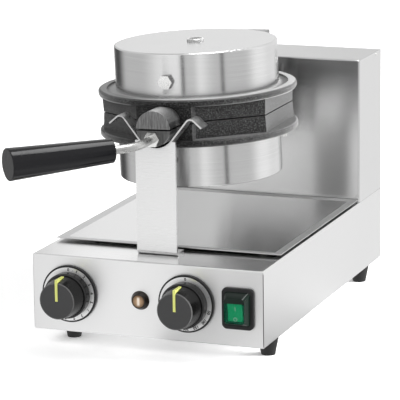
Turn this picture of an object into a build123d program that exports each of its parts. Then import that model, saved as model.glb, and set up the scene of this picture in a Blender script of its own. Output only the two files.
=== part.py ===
from build123d import *
import os
from math import cos, radians, sin, sqrt

os.makedirs("parts", exist_ok=True)

# Rotary bubble waffle maker. A sheet metal base holds the controls, a tower at its back carries the
# bearing of a turning head, and a post at its front ends in a spring cradle for the head's front boss.
# The head is two cast plates with their heater drums, hinged together at the back.
# X is to the right, Y to the back and Z up. The origin is on the bench, under the middle of the base.

# Base housing
base_width = 250.0
base_depth = 396.0
base_height = 79.5
sheet = 1.2
bend_radius = 1.6
return_lip = 13.0
seam_width = 0.8
seam_below_top = 3.0
slip = 0.2
floor_margin = 0.5
rear_lip = 16.0
floor_screw_radius = 1.6
floor_screw_head = 3.2
floor_screw_inset = 10.0
floor_screw_side_margin = 22.0
floor_screw_pitch_share = 0.3283
floor_screw_round = 0.96
floor_screw_length = 4.8
vent_length = 40.0
vent_width = 4.0
vent_pitch_share = 0.096
vents_in_row = 6
vent_rows_share = 0.2273

# Tower
tower_depth = 76.2
tower_rise = 158.9
tower_edge = 2.6
tower_foot_round = 0.9

# Feet
foot_height = 18.0
foot_top_radius = 10.8
foot_low_radius = 7.2
foot_inset = 44.0
foot_right_margin = 11.0
foot_left_margin = 25.0
foot_screw_radius = 2.0
foot_screw_head = 4.0
foot_screw_head_height = 3.0
foot_screw_length = 15.6
foot_bore_depth = 6.0

# Drip tray
tray_inset = 57.5
tray_side_gap = 1.5
tray_stand = 2.0
tray_sheet = 0.8
tray_rim_width = 9.5
tray_rim_rise = 0.75
tray_stud_radius = 5.0
tray_stud_inset = 30.0
tray_gap = 1.6
tray_lift = 30.0

# Front post and spring cradle
post_setback = 5.5
post_width = 43.4
post_thickness = 3.0
post_top_drop = 13.3
post_foot = 20.0
post_bend = 5.0
post_screw_radius = 2.0
post_screw_head = 4.0
post_screw_head_height = 2.0
post_screw_length = 6.6
post_screw_depth = 13.0
post_screw_spread = 26.0
cradle_radius = 21.5
cradle_thickness = 1.6
cradle_width = 18.0
cradle_slope = 52.0
cradle_peak = 12.85
cradle_peak_bend = 5.5
cradle_tip_run = 12.3
cradle_tip_drop = 10.7

# Head
axis_rise = 211.2
head_tilt = 2.1
boss_inset = 24.5
boss_neck = 24.7
hinge_arm = 37.2
hinge_to_tower = 25.8
parting = 0.5
flange_low = 17.3
flange_thickness = 7.3
flange_round = 2.6
recess_margin = 8.8
recess_depth = 1.8
hex_side_margin = 14.4
hex_half_side_margin = 60.8
hex_nose_margin = 14.7
hex_nose_width = 26.0
hex_draft = 3.2
neck_width = 30.0
cell_margin = 8.0
web_depth = 3.0
bubble_radius = 10.2
bubble_pitch = 24.5
bubble_wall = 0.6
bubble_rows = 4
bubble_columns = 5
cell_end_margin = 9.6

# Front boss
boss_radius = 18.2
boss_slot = 1.5
boss_split_drop = 1.1

# Heater drums
drum_margin = 18.4
drum_rise = 69.3
drum_sheet = 1.2
drum_round = 1.8
drum_seat = 0.1
element_margin = 25.4
element_radius = 4.0
element_arc = 330
clamp_margin = 11.4
clamp_thickness = 2.0
felt_gap = 0.4
stud_radius = 4.0
nut_radius = 8.9
nut_height = 2.8
nut_edge = 0.7
nut_dish_radius = 7.0
nut_dish_depth = 1.8
drum_bolt_rise = 40.6
drum_bolt_flats = 13.4
drum_bolt_head = 6.0
drum_bolt_radius = 4.0
drum_bolt_length = 10.0
drum_boss_radius = 7.5
drum_boss_length = 8.0
earth_screw_radius = 2.5
earth_screw_length = 3.6
earth_screw_margin = 6.4
earth_screw_y = -9.0

# Hinge, shaft and bearing
knuckle_radius = 9.0
pin_radius = 4.0
pin_end = 2.0
running_fit = 0.05
ear_inner = 16.0
ear_width = 10.0
ear_gap = 0.5
arm_height = 13.0
yoke_gap = 0.7
yoke_thickness = 6.0
yoke_height = 19.5
lead_slot_height = 16.0
shaft_flange_radius = 24.0
shaft_flange_thickness = 4.0
shaft_shoulder_radius = 13.5
shoulder_gap = 0.3
shaft_radius = 12.0
shaft_bore = 8.0
shaft_tail = 12.0
shaft_screw_radius = 2.5
shaft_screw_spread = 36.0
shaft_screw_head = 4.0
shaft_screw_length = 8.8
bracket_thickness = 3.0
bracket_width_share = 0.48
bracket_foot = 45.0
bush_flange_radius = 20.0
bush_flange = 3.0
bush_radius = 16.0
bush_length = 24.0
collar_radius = 19.0
collar_width = 9.0

# Cable guards behind the drums
guard_half_width = 32.0
guard_rise = 60.0
guard_lip = 7.5
guard_sheet = 1.2

# Handle
rod_radius = 4.35
rod_drop = 9.8
rod_thread = 14.0
handle_angle = 46.2
handle_vertex = 19.9
handle_bend = 42.0
grip_start = 26.7
grip_length = 109.8
grip_inner_radius = 12.2
grip_outer_radius = 16.3
grip_end_round = 0.8
rod_in_grip = 80.0
lock_nut_flats = 14.6
lock_nut_width = 6.0

# Knobs and dials
timer_share = -0.336
thermostat_share = 0.174
dial_rise = 40.4
dial_radius = 29.7
dial_thickness = 3.6
scale_outer = 27.9
scale_inner = 20.0
scale_thickness = 0.4
knob_skirt_radius = 23.4
knob_skirt = 9.0
knob_neck_radius = 21.6
knob_face_radius = 19.0
knob_length = 30.4
knob_edge = 1.0
knob_bore = 7.0
knob_hub = 5.0
knob_hub_gap_depth = 10.1
spindle_depth = 15.2
pointer_width = 2.7
pointer_height = 0.5
pointer_back = 17.0
spindle_radius = 3.0
bushing_radius = 6.0
control_body = 44.0
control_depth = 34.0
spindle_in_body = 17.0

# Lamp
lamp_share = -0.028
lamp_rise = 39.2
lamp_bezel_radius = 9.9
lamp_front_radius = 7.4
lamp_lens_radius = 6.3
lamp_proud = 5.0
lamp_body_radius = 6.0
lamp_body_length = 28.0
lamp_seat = 1.0
lens_dome = 0.6

# Switch
switch_share = 0.3944
switch_rise = 39.7
switch_width = 33.8
switch_height = 42.6
switch_round = 5.5
switch_frame = 3.6
boot_width = 27.0
boot_height = 35.0
boot_face_width = 21.4
boot_face_height = 25.6
boot_proud = 9.6
boot_wall = 0.9
boot_round = 3.0
rocker_width = 15.6
rocker_height = 19.4
rocker_top = 11.5
rocker_pivot = 4.6
rocker_tilt = 7.0
rocker_tail = 6.0
rocker_dish = 1.0
rocker_shoulder = 8.5
rocker_tail_half = 3.9
well_side_gap = 1.8
well_end_gap = 2.7
trunnion_radius = 1.5
trunnion_gap = 0.4
switch_body_width = 22.0
switch_body_height = 30.0
switch_body_depth = 26.0

# Rear
gland_share = -0.32
gland_rise = 34.0
gland_radius = 10.0
gland_flange_radius = 14.0
gland_bore = 4.5
gland_length = 18.0
rear_screw_radius = 1.8
rear_screw_head = 3.4
rear_screw_above_base = 19.5
louvre_rise_share = 0.42
louvre_length = 22.0
louvre_width = 4.0
louvre_pitch_share = 0.12
louvres_in_row = 6
louvre_rows = 4
louvre_rows_apart = 12.0
rivet_radius = 1.5
rivet_head = 1.95
rivet_proud = 0.5
rivet_down = 3.4
rivet_inset = 15.6

# Derived levels and places
front = -base_depth / 2
back = base_depth / 2
side_x = base_width / 2
base_bottom = foot_height
base_top = foot_height + base_height
tower_front = back - tower_depth
tower_top = base_top + tower_rise
axis_z = foot_height + axis_rise
boss_y = front + boss_inset
post_y = boss_y + post_setback
hinge_y = tower_front - hinge_to_tower
flange_radius = (hinge_y - hinge_arm - boss_y - boss_neck) / 2
head_y = boss_y + boss_neck + flange_radius
recess_radius = flange_radius - recess_margin
hex_side = flange_radius - hex_side_margin
hex_half_side = flange_radius - hex_half_side_margin
hex_nose = flange_radius - hex_nose_margin
drum_radius = flange_radius - drum_margin
element_ring = drum_radius - element_margin
clamp_radius = drum_radius - clamp_margin
tray_width = base_width - 2 * tray_side_gap
timer_x = timer_share * base_width
thermostat_x = thermostat_share * base_width
lamp_x = lamp_share * base_width
switch_x = switch_share * base_width
gland_x = gland_share * base_width
bracket_width = bracket_width_share * base_width
vent_pitch = vent_pitch_share * base_width
vent_rows_apart = vent_rows_share * base_depth
louvre_pitch = louvre_pitch_share * base_width
dial_z = base_bottom + dial_rise
flange_top = flange_low + flange_thickness
drum_base = flange_top - recess_depth + drum_seat
tilt = radians(head_tilt)


def across(y):
    """Upright plane at y that faces the front, with local x to the right and local y up."""
    return Plane.XZ.offset(-y)


def level(height):
    """Plane of the turned head at a height over the shaft's axis, with local y to the back."""
    return Plane(
        origin=(-height * sin(tilt), 0, axis_z + height * cos(tilt)),
        x_dir=(cos(tilt), 0, sin(tilt)),
        z_dir=(-sin(tilt), 0, cos(tilt)),
    )


def upright(y):
    """Upright plane of the turned head at y, facing the front, with its middle on the shaft's axis."""
    return Plane(origin=(0, y, axis_z), x_dir=(cos(tilt), 0, sin(tilt)), z_dir=(0, -1, 0))


def endwise(x):
    """Plane of the turned head across its width at x, facing right, with local x to the back."""
    return Plane(
        origin=(x * cos(tilt), 0, axis_z + x * sin(tilt)),
        x_dir=(0, 1, 0),
        z_dir=(cos(tilt), 0, sin(tilt)),
    )


# Base shell: top, front and sides folded from one sheet, with lips turned in below and behind
inner_width = base_width - 2 * sheet
shell_low = base_bottom + sheet
shell_height = base_height - sheet
post_screws = [(hand * post_screw_spread / 2, post_y + post_screw_depth) for hand in (-1, 1)]
gland_z = base_bottom + gland_rise
lead_hole_y = back - tower_depth / 2 + bracket_foot / 4
foot_places = [
    (side_x - foot_right_margin, front + foot_inset),
    (side_x - foot_right_margin, back - foot_inset),
    (foot_left_margin - side_x, front + foot_inset),
    (foot_left_margin - side_x, back - foot_inset),
]
lip_middle = side_x - sheet - return_lip / 2
floor_screw_x = side_x - floor_screw_side_margin
floor_screw_y = floor_screw_pitch_share * base_depth / 2
floor_screw_places = [
    (-floor_screw_x, front + floor_screw_inset),
    (floor_screw_x, front + floor_screw_inset),
    (-lip_middle, -floor_screw_y),
    (lip_middle, -floor_screw_y),
    (-lip_middle, floor_screw_y),
    (lip_middle, floor_screw_y),
]

with BuildPart() as base_shell:
    with BuildSketch(Plane.XY.offset(shell_low)):
        Rectangle(base_width, base_depth)
    extrude(amount=shell_height)
    folds = base_shell.faces().sort_by(Axis.Z)[-1].edges()
    fillet(folds.sort_by(Axis.Y)[:-1], radius=bend_radius)
    with BuildSketch(Plane.XY.offset(shell_low + sheet)):
        Rectangle(inner_width, base_depth - 2 * sheet)
    extrude(amount=shell_height - 2 * sheet, mode=Mode.SUBTRACT)
    with BuildSketch(Plane.XY.offset(shell_low)):
        with Locations((0, (front + sheet + return_lip + back) / 2)):
            Rectangle(inner_width - 2 * return_lip, base_depth - sheet - return_lip)
        with Locations(*foot_places):
            Circle(foot_screw_radius + slip)
        with Locations(*floor_screw_places):
            Circle(floor_screw_radius)
    extrude(amount=sheet, mode=Mode.SUBTRACT)
    with BuildSketch(across(back)):
        with Locations((0, shell_low + (shell_height - return_lip) / 2)):
            Rectangle(inner_width - 2 * return_lip, shell_height - return_lip)
    extrude(amount=sheet, mode=Mode.SUBTRACT)
    for hand in (-1, 1):
        with BuildSketch(Plane.XY.offset(shell_low)):
            with Locations((hand * side_x, front)):
                Rectangle(seam_width, 4 * sheet, rotation=45 * hand)
        extrude(amount=shell_height - seam_below_top, mode=Mode.SUBTRACT)
    with BuildSketch(across(front)):
        with Locations((timer_x, dial_z), (thermostat_x, dial_z)):
            Circle(bushing_radius + slip)
        with Locations((lamp_x, base_bottom + lamp_rise)):
            Circle(lamp_body_radius + slip)
        with Locations((switch_x, base_bottom + switch_rise)):
            Rectangle(switch_body_width + 2 * slip, switch_body_height + 2 * slip)
    extrude(amount=-sheet, mode=Mode.SUBTRACT)
    with BuildSketch(Plane.XY.offset(base_top)):
        with Locations(*post_screws):
            Circle(post_screw_radius + slip)
        with Locations((0, lead_hole_y)):
            Circle(shaft_radius)
    extrude(amount=-sheet, mode=Mode.SUBTRACT)
base_shell.part.label = "base_shell"
export_step(base_shell.part, "parts/base_shell.step")

# Floor plate: closes the shell from below, with a lip up the outside of the back and vent slots
floor_width = base_width - 2 * floor_margin
floor_front = front + floor_margin
floor_back = back + 2 * sheet

with BuildPart() as floor_plate:
    with BuildSketch(Plane.XY.offset(base_bottom)):
        with Locations((0, (floor_front + floor_back) / 2)):
            Rectangle(floor_width, floor_back - floor_front)
    extrude(amount=sheet)
    with BuildSketch(Plane.XY.offset(base_bottom)):
        with Locations((0, floor_back - sheet / 2)):
            Rectangle(floor_width, sheet)
    extrude(amount=rear_lip)
    with BuildSketch(Plane.XY.offset(base_bottom)):
        with Locations(*foot_places):
            Circle(foot_screw_radius)
        with Locations(*floor_screw_places):
            Circle(floor_screw_radius + slip)
        with GridLocations(vent_pitch, vent_rows_apart, vents_in_row, 2):
            SlotOverall(vent_length, vent_width, rotation=90)
    extrude(amount=sheet, mode=Mode.SUBTRACT)
floor_plate.part.label = "floor_plate"
export_step(floor_plate.part, "parts/floor_plate.step")

# Floor screws, driven up into the shell's lips
with BuildPart() as floor_screws:
    with BuildSketch(Plane.XY.offset(base_bottom)):
        with Locations(*floor_screw_places):
            Circle(floor_screw_head)
    extrude(amount=-floor_screw_radius)
    fillet(floor_screws.edges().group_by(Axis.Z)[0], radius=floor_screw_round)
    with BuildSketch(Plane.XY.offset(base_bottom)):
        with Locations(*floor_screw_places):
            Circle(floor_screw_radius)
    extrude(amount=floor_screw_length)
floor_screws.part.label = "floor_screws"
export_step(floor_screws.part, "parts/floor_screws.step")

# Tower shell: front, sides and top folded from one sheet, with side lips that stand on the base
with BuildPart() as tower_shell:
    with BuildSketch(Plane.XY.offset(base_top)):
        with Locations((0, back - tower_depth / 2)):
            Rectangle(base_width, tower_depth)
    extrude(amount=tower_rise)
    tower_uprights = tower_shell.edges().filter_by(Axis.Z).sort_by(Axis.Y)
    fillet(tower_uprights[:2], radius=tower_edge)
    tower_folds = tower_shell.faces().sort_by(Axis.Z)[-1].edges().sort_by(Axis.Y)
    fillet(tower_folds[:-1], radius=bend_radius)
    tower_foot = tower_shell.faces().sort_by(Axis.Z)[0].edges().sort_by(Axis.Y)
    fillet(tower_foot[:-1], radius=tower_foot_round)
    with BuildSketch(Plane.XY.offset(base_top + sheet)):
        with Locations((0, back - tower_depth / 2)):
            Rectangle(inner_width, tower_depth - 2 * sheet)
    extrude(amount=tower_rise - 2 * sheet, mode=Mode.SUBTRACT)
    with BuildSketch(Plane.XY.offset(base_top)):
        with Locations((0, back - tower_depth / 2)):
            Rectangle(inner_width - 2 * return_lip, tower_depth - 2 * sheet)
    extrude(amount=sheet, mode=Mode.SUBTRACT)
    with BuildSketch(across(back)):
        with Locations((0, base_top + (tower_rise - return_lip) / 2)):
            Rectangle(inner_width - 2 * return_lip, tower_rise - return_lip)
    extrude(amount=sheet, mode=Mode.SUBTRACT)
    with BuildSketch(across(tower_front)):
        with Locations((0, axis_z)):
            Circle(bush_flange_radius + slip)
    extrude(amount=-sheet, mode=Mode.SUBTRACT)
    with BuildSketch(Plane.YZ.offset(-side_x)):
        with Locations((back - rivet_inset, tower_top - rivet_down)):
            Circle(rivet_radius)
    extrude(amount=base_width, mode=Mode.SUBTRACT)
tower_shell.part.label = "tower_shell"
export_step(tower_shell.part, "parts/tower_shell.step")

# Rivets near the top of the tower's sides
with BuildPart() as tower_rivets:
    for hand in (-1, 1):
        with BuildSketch(Plane.YZ.offset(hand * (side_x - sheet - rivet_proud))):
            with Locations((back - rivet_inset, tower_top - rivet_down)):
                Circle(rivet_radius)
        extrude(amount=hand * (sheet + rivet_proud))
        with BuildSketch(Plane.YZ.offset(hand * side_x)):
            with Locations((back - rivet_inset, tower_top - rivet_down)):
                Circle(rivet_head)
        extrude(amount=hand * rivet_proud)
tower_rivets.part.label = "tower_rivets"
export_step(tower_rivets.part, "parts/tower_rivets.step")

# Rear panel over the back of the base and the tower, with louvre slots and the inlet's hole
rear_low = base_bottom + sheet + slip
rear_high = tower_top
rear_screws = [
    (hand * (side_x - sheet - return_lip / 2), height)
    for hand in (-1, 1)
    for height in (
        base_top - return_lip / 2 - sheet,
        base_top + rear_screw_above_base,
        tower_top - return_lip / 2 - sheet,
    )
]

with BuildPart() as rear_panel:
    with BuildSketch(across(back)):
        with Locations((0, (rear_low + rear_high) / 2)):
            Rectangle(base_width, rear_high - rear_low)
    extrude(amount=-sheet)
    with BuildSketch(across(back)):
        with Locations((gland_x, gland_z)):
            Circle(gland_radius + slip)
        with Locations(*rear_screws):
            Circle(rear_screw_radius + slip)
        with Locations((0, base_top + louvre_rise_share * tower_rise)):
            with GridLocations(louvre_pitch, louvre_rows_apart, louvres_in_row, louvre_rows):
                SlotOverall(louvre_length, louvre_width)
    extrude(amount=-sheet, mode=Mode.SUBTRACT)
rear_panel.part.label = "rear_panel"
export_step(rear_panel.part, "parts/rear_panel.step")

# Rear panel screws
with BuildPart() as rear_screws_set:
    with BuildSketch(across(back + sheet)):
        with Locations(*rear_screws):
            Circle(rear_screw_head)
    extrude(amount=-rear_screw_radius)
    with BuildSketch(across(back + sheet)):
        with Locations(*rear_screws):
            Circle(rear_screw_radius)
    extrude(amount=sheet)
rear_screws_set.part.label = "rear_panel_screws"
export_step(rear_screws_set.part, "parts/rear_panel_screws.step")

# Inlet gland for the mains lead
with BuildPart() as inlet_gland:
    with BuildSketch(across(back + sheet + sheet)):
        with Locations((gland_x, gland_z)):
            Circle(gland_flange_radius)
    extrude(amount=sheet)
    with BuildSketch(across(back + gland_length / 2)):
        with Locations((gland_x, gland_z)):
            Circle(gland_radius)
    extrude(amount=gland_length)
    with BuildSketch(across(back + gland_length)):
        with Locations((gland_x, gland_z)):
            Circle(gland_bore)
    extrude(amount=2 * gland_length, mode=Mode.SUBTRACT)
inlet_gland.part.label = "inlet_gland"
export_step(inlet_gland.part, "parts/inlet_gland.step")

# Rubber feet, wider at the top, with a screw up through each
with BuildPart() as rubber_feet:
    for foot_place in foot_places:
        with BuildSketch(Plane.XY):
            with Locations(foot_place):
                Circle(foot_low_radius)
        with BuildSketch(Plane.XY.offset(foot_height)):
            with Locations(foot_place):
                Circle(foot_top_radius)
        loft()
    with BuildSketch(Plane.XY):
        with Locations(*foot_places):
            Circle(foot_screw_head + slip)
    extrude(amount=foot_bore_depth, mode=Mode.SUBTRACT)
    with BuildSketch(Plane.XY):
        with Locations(*foot_places):
            Circle(foot_screw_radius)
    extrude(amount=foot_height, mode=Mode.SUBTRACT)
rubber_feet.part.label = "rubber_feet"
export_step(rubber_feet.part, "parts/rubber_feet.step")

with BuildPart() as foot_screws:
    with BuildSketch(Plane.XY.offset(foot_bore_depth)):
        with Locations(*foot_places):
            Circle(foot_screw_head)
    extrude(amount=-foot_screw_head_height)
    with BuildSketch(Plane.XY.offset(foot_bore_depth)):
        with Locations(*foot_places):
            Circle(foot_screw_radius)
    extrude(amount=foot_screw_length)
foot_screws.part.label = "foot_screws"
export_step(foot_screws.part, "parts/foot_screws.step")

# Drip tray: a sheet on four low studs, with a border that rises a little towards its edge
tray_front = front + tray_inset
tray_back = tower_front - tray_gap
tray_y = (tray_front + tray_back) / 2
tray_depth = tray_back - tray_front

tray_low = base_top + tray_stand
tray_rim_low = tray_low + tray_rim_rise
tray_floor_width = tray_width - 2 * tray_rim_width
tray_floor_depth = tray_depth - 2 * tray_rim_width

with BuildPart() as drip_tray:
    with BuildSketch(Plane.XY.offset(tray_low)):
        with Locations((0, tray_y)):
            Rectangle(tray_floor_width, tray_floor_depth)
    with BuildSketch(Plane.XY.offset(tray_rim_low)):
        with Locations((0, tray_y)):
            Rectangle(tray_width, tray_depth)
    loft()
    with BuildSketch(Plane.XY.offset(tray_rim_low)):
        with Locations((0, tray_y)):
            Rectangle(tray_width, tray_depth)
    extrude(amount=tray_sheet)
    with BuildSketch(Plane.XY.offset(tray_low + tray_sheet)):
        with Locations((0, tray_y)):
            Rectangle(tray_floor_width, tray_floor_depth)
    with BuildSketch(Plane.XY.offset(tray_rim_low + tray_sheet)):
        with Locations((0, tray_y)):
            Rectangle(tray_width, tray_depth)
    loft(mode=Mode.SUBTRACT)
    with BuildSketch(Plane.XY.offset(base_top)):
        with Locations((0, tray_y)):
            with GridLocations(tray_width - 2 * tray_stud_inset, tray_depth - 2 * tray_stud_inset, 2, 2):
                Circle(tray_stud_radius)
    extrude(amount=tray_stand)
drip_tray.part.label = "drip_tray"
export_step(drip_tray.part, "parts/drip_tray.step")

# Cradle: a spring strip bent into a U under the boss, with an outward hook on each arm
arm_x = cos(radians(cradle_slope))
arm_z = sin(radians(cradle_slope))
cradle_low = -cradle_radius / arm_x
peak_x = (cradle_peak - cradle_low) * arm_x / arm_z
cradle_outer = cradle_radius + cradle_thickness / 2

cradle_plane = Plane(origin=(0, post_y + cradle_width / 2, axis_z), x_dir=(1, 0, 0), z_dir=(0, -1, 0))

with BuildPart() as cradle_strip:
    with BuildLine(cradle_plane) as bent:
        FilletPolyline(
            (-peak_x - cradle_tip_run, cradle_peak - cradle_tip_drop),
            (-peak_x, cradle_peak),
            (0, cradle_low),
            (peak_x, cradle_peak),
            (peak_x + cradle_tip_run, cradle_peak - cradle_tip_drop),
            radius=[cradle_peak_bend, cradle_radius, cradle_peak_bend],
        )
    with BuildSketch(Plane(origin=bent.line @ 0, x_dir=(0, 1, 0), z_dir=bent.line % 0)):
        Rectangle(cradle_width, cradle_thickness)
    sweep()
cradle_strip.part.label = "cradle_strip"
export_step(cradle_strip.part, "parts/cradle_strip.step")

# Front post: a flat plate with its foot bent back, cut out at the top to carry the cradle
post_top = axis_z - post_top_drop
seat_x = cradle_outer * arm_z
seat_z = axis_z - cradle_outer * arm_x
flare_x = seat_x + cradle_outer * arm_x
flare_z = seat_z + cradle_outer * arm_z

with BuildPart() as front_post:
    with BuildSketch(Plane.YZ.offset(-post_width / 2)):
        with BuildLine():
            Polyline(
                (post_y, base_top),
                (post_y + post_foot, base_top),
                (post_y + post_foot, base_top + post_thickness),
                (post_y + post_thickness, base_top + post_thickness),
                (post_y + post_thickness, post_top),
                (post_y, post_top),
                close=True,
            )
        make_face()
    extrude(amount=post_width)
    bend_outside = front_post.edges().filter_by(Axis.X).group_by(Axis.Z)[0].sort_by(Axis.Y)[0]
    fillet(bend_outside, radius=post_bend)
    bend_inside = front_post.edges().filter_by(Axis.X).sort_by_distance(
        (0, post_y + post_thickness, base_top + post_thickness)
    )[0]
    fillet(bend_inside, radius=post_bend - post_thickness)
    with BuildSketch(across(post_y)):
        with Locations((0, axis_z)):
            Circle(cradle_outer)
        with BuildLine():
            Polyline(
                (0, axis_z),
                (seat_x, seat_z),
                (flare_x, flare_z),
                (-flare_x, flare_z),
                (-seat_x, seat_z),
                close=True,
            )
        make_face()
    extrude(amount=-post_thickness, mode=Mode.SUBTRACT)
    with BuildSketch(Plane.XY.offset(base_top)):
        with Locations(*post_screws):
            Circle(post_screw_radius + slip)
    extrude(amount=post_thickness, mode=Mode.SUBTRACT)
front_post.part.label = "front_post"
export_step(front_post.part, "parts/front_post.step")

with BuildPart() as post_screws_set:
    with BuildSketch(Plane.XY.offset(base_top + post_thickness)):
        with Locations(*post_screws):
            Circle(post_screw_head)
    extrude(amount=post_screw_head_height)
    with BuildSketch(Plane.XY.offset(base_top + post_thickness)):
        with Locations(*post_screws):
            Circle(post_screw_radius)
    extrude(amount=-post_screw_length)
post_screws_set.part.label = "post_screws"
export_step(post_screws_set.part, "parts/post_screws.step")

# Plate outline shared by both castings: six sides, with the front and back points blunted
hex_outline = [
    (hex_side, -hex_half_side),
    (hex_side, hex_half_side),
    (hex_nose_width, hex_nose),
    (-hex_nose_width, hex_nose),
    (-hex_side, hex_half_side),
    (-hex_side, -hex_half_side),
    (-hex_nose_width, -hex_nose),
    (hex_nose_width, -hex_nose),
]
cell_side = hex_side - cell_margin
cell_half_side = hex_half_side - cell_margin / 2
cell_nose = hex_nose - cell_end_margin
cell_outline = [
    (cell_side, -cell_half_side),
    (cell_side, cell_half_side),
    (hex_nose_width, cell_nose),
    (-hex_nose_width, cell_nose),
    (-cell_side, cell_half_side),
    (-cell_side, -cell_half_side),
    (-hex_nose_width, -cell_nose),
    (hex_nose_width, -cell_nose),
]
nose_slope = (cell_nose - cell_half_side) / (cell_side - hex_nose_width)
bubble_reach = bubble_radius + bubble_wall
row_pitch = bubble_pitch * sqrt(3) / 2
bubble_places = []
for row in range(-bubble_rows, bubble_rows + 1):
    for column in range(-bubble_columns, bubble_columns + 1):
        x = (column + (0.5 if row % 2 else 0)) * bubble_pitch
        y = row * row_pitch
        inside_side = abs(x) + bubble_reach <= cell_side
        inside_end = abs(y) + bubble_reach <= cell_nose
        over_slope = abs(y) - cell_half_side + nose_slope * (abs(x) - cell_side)
        inside_slope = over_slope <= -bubble_reach * sqrt(1 + nose_slope**2)
        if inside_side and inside_end and inside_slope:
            bubble_places.append((x, head_y + y))

knuckle_back = hinge_y + knuckle_radius + yoke_gap
yoke_back = knuckle_back + yoke_thickness
yoke_half = ear_inner + ear_width
arm_start = head_y + hex_nose - cell_margin / 2
boss_length = head_y - hex_nose - boss_y
upper_boss_low = boss_slot / 2 - boss_split_drop
lower_boss_top = -boss_slot / 2 - boss_split_drop

# Upper plate: flange, tapered body with half-round cells, half boss and the middle hinge ear
with BuildPart() as upper_plate:
    with BuildSketch(level(flange_low)):
        with Locations((0, head_y)):
            Circle(flange_radius)
    extrude(amount=flange_thickness)
    fillet(upper_plate.edges().filter_by(GeomType.CIRCLE), radius=flange_round)
    with BuildSketch(level(flange_top)):
        with Locations((0, head_y)):
            Circle(recess_radius)
    extrude(amount=-recess_depth, mode=Mode.SUBTRACT)
    with BuildSketch(level(parting)):
        with Locations((0, head_y)):
            Polygon(*hex_outline, align=None)
    extrude(amount=flange_low - parting, taper=-hex_draft)
    with BuildSketch(level(boss_slot / 2)):
        with Locations((0, head_y - hex_nose)):
            Rectangle(2 * neck_width, head_y - hex_nose - (head_y - flange_radius) + flange_round)
    extrude(amount=flange_low + flange_thickness / 2 - boss_slot / 2)
    with BuildSketch(upright(boss_y)):
        Circle(boss_radius)
        with Locations((0, upper_boss_low - boss_radius)):
            Rectangle(2 * boss_radius, 2 * boss_radius, mode=Mode.SUBTRACT)
    extrude(amount=-boss_length)
    with BuildSketch(endwise(-ear_inner + ear_gap)):
        with Locations(((arm_start + hinge_y) / 2, (boss_slot / 2 + knuckle_radius) / 2)):
            Rectangle(hinge_y - arm_start, knuckle_radius - boss_slot / 2)
        with Locations((hinge_y, 0)):
            Circle(knuckle_radius)
    extrude(amount=2 * (ear_inner - ear_gap))
    with BuildSketch(endwise(-ear_inner)):
        with Locations((hinge_y, 0)):
            Circle(pin_radius + running_fit)
    extrude(amount=2 * ear_inner, mode=Mode.SUBTRACT)
    with BuildSketch(level(parting)):
        with Locations((0, head_y)):
            Polygon(*cell_outline, align=None)
    extrude(amount=web_depth, mode=Mode.SUBTRACT)
    with Locations(level(parting + web_depth)):
        with Locations(*bubble_places):
            Sphere(bubble_radius, mode=Mode.SUBTRACT)
    with BuildSketch(level(flange_top)):
        with Locations((0, head_y)):
            Circle(stud_radius)
    extrude(amount=-flange_thickness, mode=Mode.SUBTRACT)
upper_plate.part.label = "upper_plate"
export_step(upper_plate.part, "parts/upper_plate.step")

# Lower plate: the same casting turned over, with the outer hinge ears and the yoke that takes the shaft
with BuildPart() as lower_plate:
    with BuildSketch(level(-flange_low)):
        with Locations((0, head_y)):
            Circle(flange_radius)
    extrude(amount=-flange_thickness)
    fillet(lower_plate.edges().filter_by(GeomType.CIRCLE), radius=flange_round)
    with BuildSketch(level(-flange_top)):
        with Locations((0, head_y)):
            Circle(recess_radius)
    extrude(amount=recess_depth, mode=Mode.SUBTRACT)
    with BuildSketch(level(-parting)):
        with Locations((0, head_y)):
            Polygon(*hex_outline, align=None)
    extrude(amount=-(flange_low - parting), taper=-hex_draft)
    with BuildSketch(level(-boss_slot / 2)):
        with Locations((0, head_y - hex_nose)):
            Rectangle(2 * neck_width, head_y - hex_nose - (head_y - flange_radius) + flange_round)
    extrude(amount=-(flange_low + flange_thickness / 2 - boss_slot / 2))
    with BuildSketch(upright(boss_y)):
        Circle(boss_radius)
        with Locations((0, lower_boss_top + boss_radius)):
            Rectangle(2 * boss_radius, 2 * boss_radius, mode=Mode.SUBTRACT)
    extrude(amount=-boss_length)
    for hand in (-1, 1):
        with BuildSketch(endwise(hand * ear_inner)):
            with Locations(((arm_start + knuckle_back) / 2, -(boss_slot / 2 + arm_height) / 2)):
                Rectangle(knuckle_back - arm_start, arm_height - boss_slot / 2)
            with Locations((hinge_y, 0)):
                Circle(knuckle_radius)
        extrude(amount=hand * ear_width)
    with BuildSketch(endwise(-yoke_half)):
        with Locations(((knuckle_back + yoke_back) / 2, 0)):
            Rectangle(yoke_thickness, 2 * yoke_height)
    extrude(amount=2 * yoke_half)
    with BuildSketch(endwise(-yoke_half)):
        with Locations((hinge_y, 0)):
            Circle(pin_radius + running_fit)
    extrude(amount=2 * yoke_half, mode=Mode.SUBTRACT)
    with BuildSketch(upright(yoke_back)):
        with Locations((-shaft_screw_spread / 2, 0), (shaft_screw_spread / 2, 0)):
            Circle(shaft_screw_radius)
        SlotOverall(2 * lead_slot_height, 2 * shaft_bore, rotation=90)
    extrude(amount=yoke_thickness, mode=Mode.SUBTRACT)
    with BuildSketch(level(-parting)):
        with Locations((0, head_y)):
            Polygon(*cell_outline, align=None)
    extrude(amount=-web_depth, mode=Mode.SUBTRACT)
    with Locations(level(-parting - web_depth)):
        with Locations(*bubble_places):
            Sphere(bubble_radius, mode=Mode.SUBTRACT)
    with BuildSketch(level(-flange_top)):
        with Locations((0, head_y)):
            Circle(stud_radius)
    extrude(amount=flange_thickness, mode=Mode.SUBTRACT)
    with BuildSketch(upright(boss_y)):
        with Locations((0, -rod_drop)):
            Circle(rod_radius + running_fit)
    extrude(amount=-rod_thread, mode=Mode.SUBTRACT)
lower_plate.part.label = "lower_plate"
export_step(lower_plate.part, "parts/lower_plate.step")

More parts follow.
